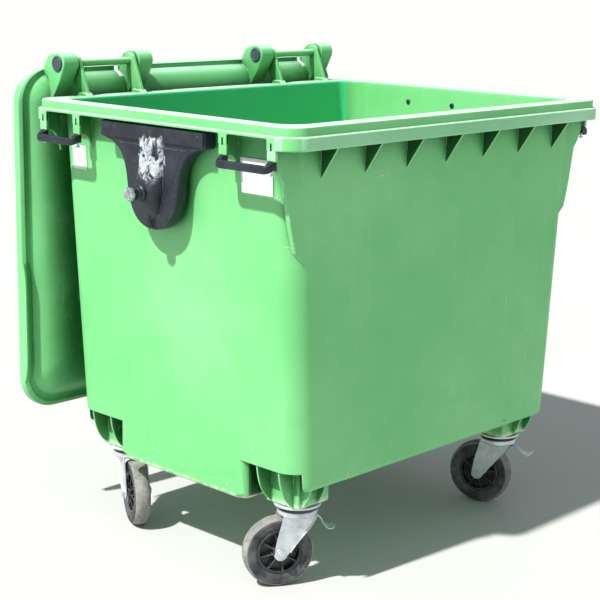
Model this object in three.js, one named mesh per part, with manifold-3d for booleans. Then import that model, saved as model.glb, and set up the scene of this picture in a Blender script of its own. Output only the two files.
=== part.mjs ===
// Four-wheeled refuse container, 1100 litre class, with a flat lid that swings over to hang behind it.
// Millimetres, +Z up. X runs along the long side, the ribbed front faces -Y, the hinges are at +Y.
import * as THREE from "three";
import { mergeVertices } from "three/addons/utils/BufferGeometryUtils.js";
import Module from "manifold-3d";

const wasm = await Module();
wasm.setup();

// Rim: a flat plateau with a stepped outer band.
const RIM_WIDTH = 1370;
const RIM_DEPTH = 1060;
const RIM_TOP = 1290;
const RIM_STEP = 9;
const RIM_LEDGE_Z = RIM_TOP - 25;
const RIM_BAND_BOTTOM = RIM_TOP - 60;
const RIM_SHEET = 6;
const RIM_RADIUS = 62;
const MOUTH_HALF_X = 615;
const MOUTH_HALF_Y = 460;

// Walls: half sizes at two heights, and how the bottom is formed.
const WALL = 7;
const WALL_RADIUS = 68;
const WALL_TOP_HALF_X = 632;
const WALL_TOP_HALF_Y = 467;
const WALL_LOW_Z = 314;
const WALL_LOW_HALF_X = 578;
const WALL_LOW_HALF_Y = 458;
const BELLY_Z = 240;
const BELLY_HALF_X = 573;
const BELLY_HALF_Y = 262;
const BELLY_RADIUS = 36;

// Caster recesses at the four corners.
const RECESS_INNER_X = 375;
const RECESS_TOP_Z = 358;
const CURTAIN = 9;
const CASTER_X = 460;
const CASTER_Y = 352;
const HOUSING_HALF = 62;
const FIN = 6;
const END_FINS_Y = [CASTER_Y - 42, CASTER_Y + 40];
const FRONT_FINS_X = [CASTER_X - 12, CASTER_X + 44];
const RECESS_OUTER_Y = WALL_LOW_HALF_Y - CURTAIN;
const RECESS_INNER_Y = BELLY_HALF_Y + 6;

// Ribs under the front band.
const GUSSET_COUNT = 7;
const GUSSET_PITCH = 169.5;
const GUSSET_DROP = 92;
const GUSSET_THICK = 7;

// End pillars that carry the grips: y of each strip.
const PILLARS_Y = [-457, -283, 315, 467];
const PILLAR_WIDTH = 30;
const PILLAR_SHEET = 12;
const PILLAR_BOTTOM = 1203;
const PILLAR_WEB = 8;

// Hinge line.
const HINGE_Y = 535;
const HINGE_Z = 1384;
const HINGE_GROUP_X = 407;
const ARM_OFFSET = 143;
const ARM_WIDTH = 56;
const ARM_EYE_RADIUS = 31;
const ARM_REACH = 122;
const EAR_OFFSET = 104;
const EAR_THICK = 14;
const EAR_EYE_RADIUS = 24;
const EAR_FOOT_Y = [472, 518];
const GRIP_BAR_RADIUS = 11;
const PIN_RADIUS = 10;
const PIN_HEAD_RADIUS = 22;
const PIN_HEAD_THICK = 6;
const PIN_INNER_OFFSET = EAR_OFFSET - 24;

// Lid, drawn closed on the rim.
const LID_TOP = HINGE_Z - 40;
const LID_SHEET = 4.5;
const LID_HALF_X = 673;
const LID_FRONT_Y = -523;
const LID_REAR_Y = HINGE_Y - 16;
const LID_FLANGE_Z = RIM_TOP + 23;
const LID_LIP_BOTTOM = RIM_TOP + 1;
const LID_RADIUS = 108;
const LID_DISH_INSET = 36;
const LID_DISH_SLOPE = 30;
const LID_SKIRT_REAR_Y = HINGE_Y - 32;
const LID_DOME_RISE = 16;
const LID_DOME_INSET = 90;
const LID_SLOT_FRONT_Y = 478;
const LID_OPEN_TURN = Math.PI / 2;

// Lifting bracket and its spigot, one at each end.
const BRACKET_FACE_X = 675;
const BRACKET_BACK_X = 636;
const BRACKET_Y = 4;
const BRACKET_HALF_WIDTH = 210;
const BRACKET_TOP = 1256;
const BRACKET_BAR_BOTTOM = 1208;
const BRACKET_TIP_Z = 972;
const SPIGOT_Z = 1076;
const SPIGOT_RADIUS = 19;
const SPIGOT_TIP_X = 757;
const BOSS_ROOT_RADIUS = 48;
const BOSS_TIP_RADIUS = 27;
const BOSS_LENGTH = 46;
const BRACKET_BOLT_Z = 1234;
const BRACKET_BOLT_PITCH = 185;
const BRACKET_BOLT_RADIUS = 6;
const BRACKET_BOLT_HOLE = 6.4;
const BRACKET_BOLT_HEX = 19;
const BRACKET_BOLT_NUT_RADIUS = 13;

// Grips: name, y of the two arms.
const GRIPS = [
  ["front", PILLARS_Y[0], PILLARS_Y[1]],
  ["rear", PILLARS_Y[2], PILLARS_Y[3]],
];
const GRIP_X = 699;
const GRIP_Z = 1183;
const GRIP_RADIUS = 12.5;
const GRIP_ARM = 16;
const GRIP_SCREW_X = RIM_WIDTH / 2 - PILLAR_SHEET / 2;
const GRIP_SCREW_RADIUS = 3.2;
const GRIP_SCREW_HOLE = 3.6;

// Drain plug in the belly.
const DRAIN_X = 300;
const DRAIN_RADIUS = 30;
const DRAIN_FLANGE_RADIUS = 40;
const DRAIN_KEY_HALF = 26;

// Blank stickers on the left end: name, y from and to, z from and to.
const LABELS = [
  ["label_front", -409, -294, 1104, 1196],
  ["label_rear", 342, 404, 1095, 1165],
];
const LABEL_THICK = 1.2;
const LABEL_STANDOFF = 0.4;

// Casters.
const WHEEL_RADIUS = 100;
const TYRE_WIDTH = 48;
const TYRE_INNER_RADIUS = 63;
const TRAIL = 54;
const HEAD_RADIUS = 57;
const HEAD_TOP = 222;
const HEAD_BOTTOM = 205;
const GAP = 0.3;
const PLATE_TOP = BELLY_Z - GAP;
const PLATE_BOTTOM = 234;
const PLATE_RADIUS = 66;
const RACE_RADIUS = 54;
const FORK_SHEET = 4;
const FORK_INSIDE = 33;
const FORK_FOOT_RADIUS = 19;
const AXLE_RADIUS = 7;
const AXLE_HEX_RADIUS = 12;
const AXLE_HEX_THICK = 8;
const PEDAL_PIVOT_X = -50;
const PEDAL_PIVOT_Z = HEAD_BOTTOM - 7;
const PEDAL_HALF_WIDTH = 22;
const PEDAL_SHEET = 3.6;
// name, x sign, y sign, heading of the trailing wheel, how far its brake pedal is pressed (degrees)
const CASTERS = [
  ["front_left", -1, -1, 149, 25],
  ["front_right", 1, -1, 108, 0],
  ["rear_left", -1, 1, -117, null],
  ["rear_right", 1, 1, 62, null],
];
const CORNERS = CASTERS.map(([, signX, signY]) => [signX, signY]);

// The whole part runs from the front rim to the hanging lid's lip; its middle becomes the origin.
const HANGING_REACH_Y = HINGE_Y + HINGE_Z - LID_LIP_BOTTOM;
const CENTRE_Y = (HANGING_REACH_Y - RIM_DEPTH / 2) / 2;

const radians = THREE.MathUtils.degToRad;

// ---- solids -------------------------------------------------------------

function solid(geometry) {
  const bare = new THREE.BufferGeometry();
  bare.setAttribute("position", geometry.getAttribute("position").clone());
  if (geometry.index) bare.setIndex(geometry.index.clone());
  const merged = mergeVertices(bare, 1e-4);
  return new wasm.Manifold(
    new wasm.Mesh({
      numProp: 3,
      vertProperties: new Float32Array(merged.attributes.position.array),
      triVerts: new Uint32Array(merged.index.array),
    }),
  );
}

function join(solids) {
  return solids.reduce((all, one) => all.add(one));
}

function cut(body, tools) {
  return tools.reduce((left, tool) => left.subtract(tool), body);
}

function geometryOf(body) {
  const mesh = body.getMesh();
  const geometry = new THREE.BufferGeometry();
  const position = new THREE.BufferAttribute(new Float32Array(mesh.vertProperties), 3);
  geometry.setAttribute("position", position);
  geometry.setIndex(new THREE.BufferAttribute(new Uint32Array(mesh.triVerts), 1));
  geometry.computeVertexNormals();
  return geometry;
}

function box(x0, x1, y0, y1, z0, z1) {
  const geometry = new THREE.BoxGeometry(x1 - x0, y1 - y0, z1 - z0);
  return solid(geometry.translate((x0 + x1) / 2, (y0 + y1) / 2, (z0 + z1) / 2));
}

// A round bar along X from x0 to x1.
function barX(radius0, radius1, x0, x1, y, z, sides = 16) {
  const geometry = new THREE.CylinderGeometry(radius1, radius0, x1 - x0, sides);
  return solid(geometry.rotateZ(-Math.PI / 2).translate((x0 + x1) / 2, y, z));
}

function barY(radius, y0, y1, x, z, sides = 12) {
  const geometry = new THREE.CylinderGeometry(radius, radius, y1 - y0, sides);
  return solid(geometry.translate(x, (y0 + y1) / 2, z));
}

function barZ(radius0, radius1, z0, z1, x, y, sides = 20) {
  const geometry = new THREE.CylinderGeometry(radius1, radius0, z1 - z0, sides);
  return solid(geometry.rotateX(Math.PI / 2).translate(x, y, (z0 + z1) / 2));
}

function extruded(shape, depth, curveSegments) {
  return new THREE.ExtrudeGeometry(shape, { depth, bevelEnabled: false, curveSegments });
}

// An outline in the YZ plane, given thickness along X.
function sheetYZ(shape, x0, x1, curveSegments = 8) {
  const turn = new THREE.Matrix4().set(0, 0, 1, x0, 1, 0, 0, 0, 0, 1, 0, 0, 0, 0, 0, 1);
  return extruded(shape, x1 - x0, curveSegments).applyMatrix4(turn);
}

// An outline in the XZ plane, given thickness along Y.
function sheetXZ(shape, y0, y1, curveSegments = 6) {
  return extruded(shape, y1 - y0, curveSegments).rotateX(Math.PI / 2).translate(0, y1, 0);
}

function plateYZ(shape, x0, x1, curveSegments) {
  return solid(sheetYZ(shape, x0, x1, curveSegments));
}

function plateXZ(shape, y0, y1, curveSegments) {
  return solid(sheetXZ(shape, y0, y1, curveSegments));
}

// The stretch from a to b, or its mirror image for side -1, low end first.
function stretch(side, a, b) {
  return side > 0 ? [a, b] : [-b, -a];
}

function mirrorX(body) {
  return body.mirror([1, 0, 0]);
}

function polygon(points) {
  return new THREE.Shape(points.map(([a, b]) => new THREE.Vector2(a, b)));
}

function roundedRing(halfX, y0, y1, radius, segments = 4) {
  const points = [];
  const corners = [
    [halfX - radius, y1 - radius, 0],
    [-halfX + radius, y1 - radius, 90],
    [-halfX + radius, y0 + radius, 180],
    [halfX - radius, y0 + radius, 270],
  ];
  for (const [x, y, start] of corners)
    for (let i = 0; i <= segments; i++) {
      const angle = radians(start + (90 * i) / segments);
      points.push([x + radius * Math.cos(angle), y + radius * Math.sin(angle)]);
    }
  return points;
}

// A closed body through rounded rectangles, listed from the bottom up.
function loft(levels) {
  const rings = levels.map((l) => roundedRing(l.x, l.y0 ?? -l.y, l.y1 ?? l.y, l.r));
  const count = rings[0].length;
  const vertices = [];
  rings.forEach((ring, k) => ring.forEach(([x, y]) => vertices.push(x, y, levels[k].z)));
  const index = [];
  for (let k = 0; k + 1 < rings.length; k++)
    for (let i = 0; i < count; i++) {
      const a = k * count + i;
      const b = k * count + ((i + 1) % count);
      index.push(a, b, b + count, a, b + count, a + count);
    }
  const top = (rings.length - 1) * count;
  for (let i = 1; i + 1 < count; i++) {
    index.push(0, i + 1, i);
    index.push(top, top + i, top + i + 1);
  }
  const geometry = new THREE.BufferGeometry();
  geometry.setAttribute("position", new THREE.Float32BufferAttribute(vertices, 3));
  geometry.setIndex(index);
  return solid(geometry);
}

// ---- tub ----------------------------------------------------------------

function wallHalf(top, low, z) {
  return low + ((top - low) * (z - WALL_LOW_Z)) / (RIM_BAND_BOTTOM - WALL_LOW_Z);
}

function wallHalfX(z) {
  return wallHalf(WALL_TOP_HALF_X, WALL_LOW_HALF_X, z);
}

function wallHalfY(z) {
  return wallHalf(WALL_TOP_HALF_Y, WALL_LOW_HALF_Y, z);
}

function wallLevel(z, inset = 0, radius = WALL_RADIUS) {
  return { z, x: wallHalfX(z) - inset, y: wallHalfY(z) - inset, r: radius };
}

function tubSkin() {
  return loft([
    { z: BELLY_Z, x: BELLY_HALF_X - 10, y: BELLY_HALF_Y - 14, r: BELLY_RADIUS },
    { z: BELLY_Z + 12, x: BELLY_HALF_X, y: BELLY_HALF_Y, r: BELLY_RADIUS },
    { z: WALL_LOW_Z - 12, x: WALL_LOW_HALF_X - 2, y: WALL_LOW_HALF_Y - 10, r: WALL_RADIUS - 6 },
    wallLevel(WALL_LOW_Z + 4),
    wallLevel(RIM_TOP - RIM_SHEET),
  ]);
}

function tubHollow() {
  const mouth = { x: MOUTH_HALF_X, y: MOUTH_HALF_Y, r: WALL_RADIUS - WALL };
  return loft([
    { z: BELLY_Z + WALL, x: BELLY_HALF_X - 16, y: BELLY_HALF_Y - 20, r: BELLY_RADIUS - 6 },
    { z: BELLY_Z + 12 + WALL, x: BELLY_HALF_X - WALL, y: BELLY_HALF_Y - WALL, r: BELLY_RADIUS },
    wallLevel(WALL_LOW_Z + WALL, WALL, WALL_RADIUS - WALL),
    { ...wallLevel(1100, WALL), x: MOUTH_HALF_X, r: WALL_RADIUS - WALL },
    { z: RIM_TOP - 20, ...mouth },
    { z: RIM_TOP + 5, ...mouth },
  ]);
}

function cornerBox(signX, signY, x0, x1, y0, y1, z0, z1) {
  return box(...stretch(signX, x0, x1), ...stretch(signY, y0, y1), z0, z1);
}

function recesses(grow) {
  return CORNERS.map(([signX, signY]) =>
    cornerBox(
      signX,
      signY,
      RECESS_INNER_X - grow,
      WALL_LOW_HALF_X + 60,
      RECESS_INNER_Y - grow,
      RECESS_OUTER_Y + grow,
      BELLY_Z - 60,
      RECESS_TOP_Z + grow,
    ),
  );
}

// Webs that run from the recess ceiling down to the caster housing, their outer edge a hollow curve.
function recessFinEnd(signX, signY, y) {
  const outer = wallHalfX(RECESS_TOP_Z) - 3;
  const shape = new THREE.Shape();
  shape.moveTo(CASTER_X, RECESS_TOP_Z + 3);
  shape.lineTo(outer, RECESS_TOP_Z + 3);
  shape.quadraticCurveTo(outer - 6, BELLY_Z + 26, CASTER_X + HOUSING_HALF - 8, BELLY_Z);
  shape.lineTo(CASTER_X, BELLY_Z);
  return signed(sheetXZ(shape, y - FIN / 2, y + FIN / 2), signX, signY);
}

function recessFinFront(signX, signY, x) {
  const outer = RECESS_OUTER_Y + 2;
  const shape = new THREE.Shape();
  shape.moveTo(CASTER_Y, WALL_LOW_Z + 30);
  shape.lineTo(outer, WALL_LOW_Z + 30);
  shape.quadraticCurveTo(outer - 4, BELLY_Z + 30, CASTER_Y + HOUSING_HALF - 6, BELLY_Z);
  shape.lineTo(CASTER_Y, BELLY_Z);
  return signed(sheetYZ(shape, x - FIN / 2, x + FIN / 2, 6), signX, signY);
}

// Mirrors a geometry into a corner and keeps its faces pointing out.
function signed(geometry, signX, signY) {
  geometry.deleteAttribute("normal");
  geometry.deleteAttribute("uv");
  const merged = mergeVertices(geometry, 1e-4);
  merged.scale(signX, signY, 1);
  if (signX * signY < 0) {
    const index = merged.index.array;
    for (let i = 0; i < index.length; i += 3)
      [index[i + 1], index[i + 2]] = [index[i + 2], index[i + 1]];
  }
  return solid(merged);
}

function casterHousing(signX, signY) {
  const half = HOUSING_HALF;
  const x = signX * CASTER_X;
  const y = signY * CASTER_Y;
  return join([
    box(x - half, x + half, y - half, y + half, BELLY_Z, RECESS_TOP_Z + 3),
    ...END_FINS_Y.map((finY) => recessFinEnd(signX, signY, finY)),
    ...FRONT_FINS_X.map((finX) => recessFinFront(signX, signY, finX)),
  ]);
}

function rimBand() {
  const halfX = RIM_WIDTH / 2;
  const halfY = RIM_DEPTH / 2;
  const under = RIM_BAND_BOTTOM - 40;
  const level = (z, inset) => ({
    z,
    x: halfX - inset,
    y: halfY - inset,
    r: RIM_RADIUS - inset * 0.6,
  });
  const lower = loft([level(RIM_BAND_BOTTOM, 0), level(RIM_LEDGE_Z, 0)]);
  const upper = loft([level(RIM_LEDGE_Z - 1, RIM_STEP), level(RIM_TOP, RIM_STEP)]);
  const step = RIM_STEP + RIM_SHEET;
  const pockets = [
    loft([level(under, RIM_SHEET), level(RIM_LEDGE_Z - RIM_SHEET, RIM_SHEET)]),
    loft([level(under, step), level(RIM_TOP - RIM_SHEET, step)]),
  ];
  return cut(lower.add(upper), pockets);
}

// The open stretches of each end, between the strips.
function endWindows() {
  const half = PILLAR_WIDTH / 2;
  const stretches = [];
  for (let i = 0; i + 1 < PILLARS_Y.length; i++)
    stretches.push([PILLARS_Y[i] + half, PILLARS_Y[i + 1] - half]);
  const top = RIM_LEDGE_Z - RIM_SHEET;
  return [-1, 1].flatMap((side) =>
    stretches.map(([y0, y1]) => {
      const x = stretch(side, WALL_TOP_HALF_X + 12, RIM_WIDTH / 2 + 35);
      return box(...x, y0, y1, RIM_BAND_BOTTOM - 20, top);
    }),
  );
}

// One strip of an end skirt with the web that ties it to the wall.
function pillar(side, y) {
  const half = PILLAR_WIDTH / 2;
  const outer = RIM_WIDTH / 2;
  const strip = stretch(side, outer - PILLAR_SHEET, outer);
  const web = [WALL_TOP_HALF_X - 6, outer - PILLAR_SHEET + 1];
  const shape = new THREE.Shape();
  shape.moveTo(web[0], RIM_TOP - 3);
  shape.lineTo(web[1], RIM_TOP - 3);
  shape.lineTo(web[1], PILLAR_BOTTOM + 2);
  shape.quadraticCurveTo(web[0] + 10, PILLAR_BOTTOM, web[0] - 2, PILLAR_BOTTOM - 60);
  const sheet = sheetXZ(shape, -PILLAR_WEB / 2, PILLAR_WEB / 2);
  return join([
    box(...strip, y - half, y + half, PILLAR_BOTTOM, RIM_LEDGE_Z - 2),
    signed(sheet, side, 1).translate([0, y, 0]),
  ]);
}

function gusset(x) {
  const inner = -WALL_TOP_HALF_Y + 4;
  const outer = -RIM_DEPTH / 2 + RIM_SHEET - 1;
  const shape = polygon([
    [inner, RIM_BAND_BOTTOM - GUSSET_DROP],
    [inner, RIM_LEDGE_Z - 2],
    [outer, RIM_LEDGE_Z - 2],
    [outer, RIM_BAND_BOTTOM + 2],
  ]);
  return plateYZ(shape, x - GUSSET_THICK / 2, x + GUSSET_THICK / 2);
}

function earShape() {
  const shape = new THREE.Shape();
  shape.moveTo(EAR_FOOT_Y[0], RIM_TOP - 3);
  shape.lineTo(EAR_FOOT_Y[1], RIM_TOP - 3);
  const from = radians(-8);
  const to = radians(150);
  shape.absarc(HINGE_Y, HINGE_Z, EAR_EYE_RADIUS, from, to, false);
  return shape;
}

function hingeFeet() {
  const pieces = [];
  for (const group of [-HINGE_GROUP_X, HINGE_GROUP_X]) {
    for (const side of [-1, 1]) {
      const x = group + side * EAR_OFFSET;
      pieces.push(plateYZ(earShape(), x - EAR_THICK / 2, x + EAR_THICK / 2, 10));
    }
    const reach = EAR_OFFSET - 2;
    pieces.push(
      barX(GRIP_BAR_RADIUS, GRIP_BAR_RADIUS, group - reach, group + reach, HINGE_Y, HINGE_Z),
    );
  }
  return join(pieces);
}

function pinHoles(radius) {
  return [-HINGE_GROUP_X, HINGE_GROUP_X].flatMap((group) =>
    [-1, 1].map((side) => {
      const [x0, x1] = stretch(side, PIN_INNER_OFFSET - 2, ARM_OFFSET + ARM_WIDTH + 4);
      return barX(radius, radius, group + x0, group + x1, HINGE_Y, HINGE_Z);
    }),
  );
}

function bracketPads() {
  return [-1, 1].map((side) => {
    const x = stretch(side, MOUTH_HALF_X - 25, BRACKET_BACK_X - GAP);
    return box(...x, BRACKET_Y - 70, BRACKET_Y + 70, SPIGOT_Z - 60, BRACKET_TOP - 10);
  });
}

function bracketBoltPlaces() {
  return [-1, 1].flatMap((side) =>
    [-1, 0, 1].map((i) => [side, BRACKET_Y + i * BRACKET_BOLT_PITCH]),
  );
}

function bracketBoltHoles() {
  const radius = BRACKET_BOLT_HOLE;
  return bracketBoltPlaces().map(([side, y]) => {
    const x = stretch(side, MOUTH_HALF_X - 25, BRACKET_FACE_X + 25);
    return barX(radius, radius, ...x, y, BRACKET_BOLT_Z, 10);
  });
}

function gripScrewHoles() {
  const radius = GRIP_SCREW_HOLE;
  return [-1, 1].flatMap((side) =>
    PILLARS_Y.map((y) => {
      const x = side * GRIP_SCREW_X;
      return barZ(radius, radius, PILLAR_BOTTOM - 5, PILLAR_BOTTOM + 20, x, y, 8);
    }),
  );
}

function gussets() {
  const places = Array.from({ length: GUSSET_COUNT }, (_, i) => i - (GUSSET_COUNT - 1) / 2);
  return places.map((place) => gusset(place * GUSSET_PITCH));
}

function tubSolid() {
  const hollow = cut(tubHollow(), recesses(WALL));
  const skin = cut(tubSkin(), recesses(0));
  const band = cut(rimBand(), endWindows());
  const shell = cut(join([skin, band, ...gussets(), ...bracketPads()]), [hollow]);
  const pillars = [-1, 1].flatMap((side) => PILLARS_Y.map((y) => pillar(side, y)));
  const housings = CORNERS.map(([signX, signY]) => casterHousing(signX, signY));
  const drain = barZ(DRAIN_RADIUS, DRAIN_RADIUS, BELLY_Z - 5, BELLY_Z + 30, DRAIN_X, 0);
  return cut(join([shell, ...pillars, ...housings, hingeFeet()]), [
    ...pinHoles(PIN_RADIUS + GAP),
    ...bracketBoltHoles(),
    ...gripScrewHoles(),
    drain,
  ]);
}

function drainPlug() {
  const plug = DRAIN_RADIUS - GAP;
  const flange = DRAIN_FLANGE_RADIUS;
  const key = [DRAIN_X - DRAIN_KEY_HALF, DRAIN_X + DRAIN_KEY_HALF];
  return join([
    barZ(plug, plug, BELLY_Z - 4, BELLY_Z + WALL + 3, DRAIN_X, 0),
    barZ(flange - 2, flange, BELLY_Z - 12, BELLY_Z - GAP, DRAIN_X, 0),
    box(...key, -4, 4, BELLY_Z - 20, BELLY_Z - 10),
  ]);
}

// ---- lid ----------------------------------------------------------------

function armShape() {
  const shape = new THREE.Shape();
  shape.moveTo(HINGE_Y - ARM_REACH, LID_TOP - 2);
  shape.lineTo(LID_SKIRT_REAR_Y - 8, LID_TOP - 8);
  shape.lineTo(LID_SKIRT_REAR_Y - 2, LID_FLANGE_Z + 2);
  shape.lineTo(LID_REAR_Y - 1, LID_FLANGE_Z + 2);
  shape.lineTo(HINGE_Y + 8, LID_FLANGE_Z + 14);
  shape.absarc(HINGE_Y, HINGE_Z, ARM_EYE_RADIUS, radians(-22), radians(125), false);
  return shape;
}

// The downturned edge, open towards the hinges.
function lidLip() {
  const plan = (z, inset, r) => ({
    z,
    x: LID_HALF_X - inset,
    y0: LID_FRONT_Y + inset,
    y1: LID_REAR_Y,
    r,
  });
  const outside = loft([
    plan(LID_LIP_BOTTOM, 0, LID_RADIUS),
    plan(LID_FLANGE_Z, 0.5, LID_RADIUS),
    plan(LID_FLANGE_Z + LID_SHEET, 5, LID_RADIUS - 4),
  ]);
  const inside = loft([
    { ...plan(LID_LIP_BOTTOM - 9, 4, LID_RADIUS - 3), y1: LID_REAR_Y + 90 },
    { ...plan(LID_FLANGE_Z, 4, LID_RADIUS - 3), y1: LID_REAR_Y + 90 },
  ]);
  return cut(outside, [inside]);
}

// The raised middle with sloping sides and a low crown.
function lidDish(inset, lower) {
  const step = LID_DISH_INSET + inset;
  const foot = {
    z: LID_FLANGE_Z - lower,
    x: LID_HALF_X - step,
    y0: LID_FRONT_Y + step,
    y1: LID_SKIRT_REAR_Y - inset,
    r: 84,
  };
  const top = {
    z: LID_TOP - lower,
    x: foot.x - LID_DISH_SLOPE,
    y0: foot.y0 + LID_DISH_SLOPE,
    y1: foot.y1 - 12,
    r: 62,
  };
  const crown = {
    z: top.z + LID_DOME_RISE,
    x: top.x - LID_DOME_INSET,
    y0: top.y0 + LID_DOME_INSET,
    y1: top.y1 - LID_DOME_INSET,
    r: 30,
  };
  return loft([foot, top, crown]);
}

function lidArms() {
  return [-HINGE_GROUP_X, HINGE_GROUP_X].flatMap((group) =>
    [-1, 1].map((side) => {
      const x = group + side * ARM_OFFSET;
      return plateYZ(armShape(), x - ARM_WIDTH / 2, x + ARM_WIDTH / 2, 10);
    }),
  );
}

// Clearance for the tub's ears to pass through the lid.
function lidSlots() {
  const half = EAR_THICK / 2 + 3;
  return [-HINGE_GROUP_X, HINGE_GROUP_X].flatMap((group) =>
    [-1, 1].map((side) => {
      const x = group + side * EAR_OFFSET;
      const z = [LID_LIP_BOTTOM - 10, LID_TOP + 20];
      return box(x - half, x + half, LID_SLOT_FRONT_Y, HINGE_Y, ...z);
    }),
  );
}

function lidSolid() {
  const shell = cut(lidLip().add(lidDish(0, -0.5)), [lidDish(LID_SHEET, LID_SHEET), ...lidSlots()]);
  return cut(join([shell, ...lidArms()]), pinHoles(PIN_RADIUS + GAP));
}

function hingePin(group, side) {
  const face = ARM_OFFSET + ARM_WIDTH / 2 + GAP;
  const tip = PIN_HEAD_RADIUS - 4;
  const pin = join([
    barX(PIN_RADIUS, PIN_RADIUS, PIN_INNER_OFFSET, face + 1, HINGE_Y, HINGE_Z),
    barX(PIN_HEAD_RADIUS, tip, face, face + PIN_HEAD_THICK, HINGE_Y, HINGE_Z),
  ]);
  return (side > 0 ? pin : mirrorX(pin)).translate([group, 0, 0]);
}

// ---- lifting brackets and grips ------------------------------------------

function bracketShape() {
  const half = BRACKET_HALF_WIDTH;
  const shape = new THREE.Shape();
  shape.moveTo(half, BRACKET_TOP);
  shape.lineTo(-half, BRACKET_TOP);
  shape.lineTo(-half, BRACKET_BAR_BOTTOM);
  shape.bezierCurveTo(-134, 1198, -112, 1160, -104, 1090);
  shape.bezierCurveTo(-96, 1010, -58, BRACKET_TIP_Z, 0, BRACKET_TIP_Z);
  shape.bezierCurveTo(58, BRACKET_TIP_Z, 96, 1010, 104, 1090);
  shape.bezierCurveTo(112, 1160, 134, 1198, half, BRACKET_BAR_BOTTOM);
  return shape;
}

// Pieces of the ends are drawn for +X; the other end gets their mirror image.
function bracketSolid(side) {
  const plate = plateYZ(bracketShape(), BRACKET_BACK_X, BRACKET_FACE_X, 8);
  const boss = barX(
    BOSS_ROOT_RADIUS,
    BOSS_TIP_RADIUS,
    BRACKET_FACE_X - 1,
    BRACKET_FACE_X + BOSS_LENGTH,
    0,
    SPIGOT_Z,
  );
  const reach = [BRACKET_FACE_X - 20, SPIGOT_TIP_X + 5];
  const bore = barX(SPIGOT_RADIUS + GAP, SPIGOT_RADIUS + GAP, ...reach, 0, SPIGOT_Z);
  const body = cut(plate.add(boss), [bore]).translate([0, BRACKET_Y, 0]);
  return cut(side > 0 ? body : mirrorX(body), bracketBoltHoles());
}

function spigotSolid(side) {
  const shank = barX(
    SPIGOT_RADIUS,
    SPIGOT_RADIUS,
    BRACKET_FACE_X - 19,
    SPIGOT_TIP_X - 3,
    BRACKET_Y,
    SPIGOT_Z,
  );
  const tip = barX(
    SPIGOT_RADIUS,
    SPIGOT_RADIUS - 3,
    SPIGOT_TIP_X - 3.5,
    SPIGOT_TIP_X,
    BRACKET_Y,
    SPIGOT_Z,
  );
  const body = shank.add(tip);
  return side > 0 ? body : mirrorX(body);
}

function hexX(across, x0, x1, y, z) {
  return barX(across / Math.sqrt(3), across / Math.sqrt(3), x0, x1, y, z, 6);
}

function bracketBolt(side, y) {
  const z = BRACKET_BOLT_Z;
  const shank = BRACKET_BOLT_RADIUS;
  const nut = BRACKET_BOLT_NUT_RADIUS;
  const body = join([
    barX(shank, shank, MOUTH_HALF_X - 1, BRACKET_FACE_X + 2, y, z, 10),
    hexX(BRACKET_BOLT_HEX, BRACKET_FACE_X + GAP, BRACKET_FACE_X + 8, y, z),
    barX(nut, nut, MOUTH_HALF_X - 7, MOUTH_HALF_X - GAP, y, z, 10),
  ]);
  return side > 0 ? body : mirrorX(body);
}

function gripSolid(side, y0, y1) {
  const half = GRIP_ARM / 2;
  const top = PILLAR_BOTTOM - GAP;
  const arm = (y) => box(RIM_WIDTH / 2 - 14, GRIP_X + 5, y - half, y + half, GRIP_Z - 12, top);
  const bar = barY(GRIP_RADIUS, y0 - half - 2, y1 + half + 2, GRIP_X, GRIP_Z);
  const hole = (y) =>
    barZ(GRIP_SCREW_HOLE, GRIP_SCREW_HOLE, GRIP_Z - 20, top + 9, GRIP_SCREW_X, y, 8);
  const holes = [hole(y0), hole(y1)];
  const body = cut(join([arm(y0), arm(y1), bar]), holes);
  return side > 0 ? body : mirrorX(body);
}

function gripScrew(side, y) {
  const x = side * GRIP_SCREW_X;
  const shank = GRIP_SCREW_RADIUS;
  return join([
    barZ(shank, shank, GRIP_Z - 14, PILLAR_BOTTOM + 18, x, y, 8),
    barZ(5.5, 6.5, GRIP_Z - 17, GRIP_Z - 12 - GAP, x, y, 8),
  ]);
}

// ---- casters --------------------------------------------------------------

function casterPlate() {
  return join([
    barZ(PLATE_RADIUS, PLATE_RADIUS, PLATE_BOTTOM, PLATE_TOP, 0, 0, 28),
    barZ(RACE_RADIUS - 6, RACE_RADIUS, HEAD_TOP + 0.5, PLATE_BOTTOM + 1, 0, 0),
  ]);
}

function forkLeg(side) {
  const shape = new THREE.Shape();
  shape.moveTo(-46, HEAD_BOTTOM + 6);
  shape.quadraticCurveTo(-34, 190, 34, 96);
  shape.absarc(TRAIL, WHEEL_RADIUS, FORK_FOOT_RADIUS, radians(205), radians(345), false);
  shape.quadraticCurveTo(70, 150, 44, HEAD_BOTTOM + 6);
  return plateXZ(shape, ...stretch(side, FORK_INSIDE, FORK_INSIDE + FORK_SHEET), 4);
}

function forkSolid(brake) {
  const pieces = [
    barZ(HEAD_RADIUS, HEAD_RADIUS - 5, HEAD_BOTTOM, HEAD_TOP, 0, 0),
    forkLeg(-1),
    forkLeg(1),
  ];
  const holes = [barY(AXLE_RADIUS + GAP, -60, 60, TRAIL, WHEEL_RADIUS)];
  const half = PEDAL_HALF_WIDTH;
  if (brake) pieces.push(box(-66, -40, -half, half, HEAD_BOTTOM + 2, HEAD_BOTTOM + 10));
  return cut(join(pieces), holes);
}

// Drawn about its pivot, reaching out along -X.
function pedalSolid() {
  const shape = new THREE.Shape();
  shape.moveTo(8, -PEDAL_SHEET);
  shape.lineTo(-12, -PEDAL_SHEET);
  shape.bezierCurveTo(-28, -6, -32, -24, -52, -21);
  shape.quadraticCurveTo(-60, -19, -66, -12);
  shape.lineTo(-64, -9);
  shape.quadraticCurveTo(-58, -15.5, -51, -17);
  shape.bezierCurveTo(-38, -19, -32, -2, -14, 0);
  shape.lineTo(8, 0);
  return plateXZ(shape, -PEDAL_HALF_WIDTH, PEDAL_HALF_WIDTH, 5);
}

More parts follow.
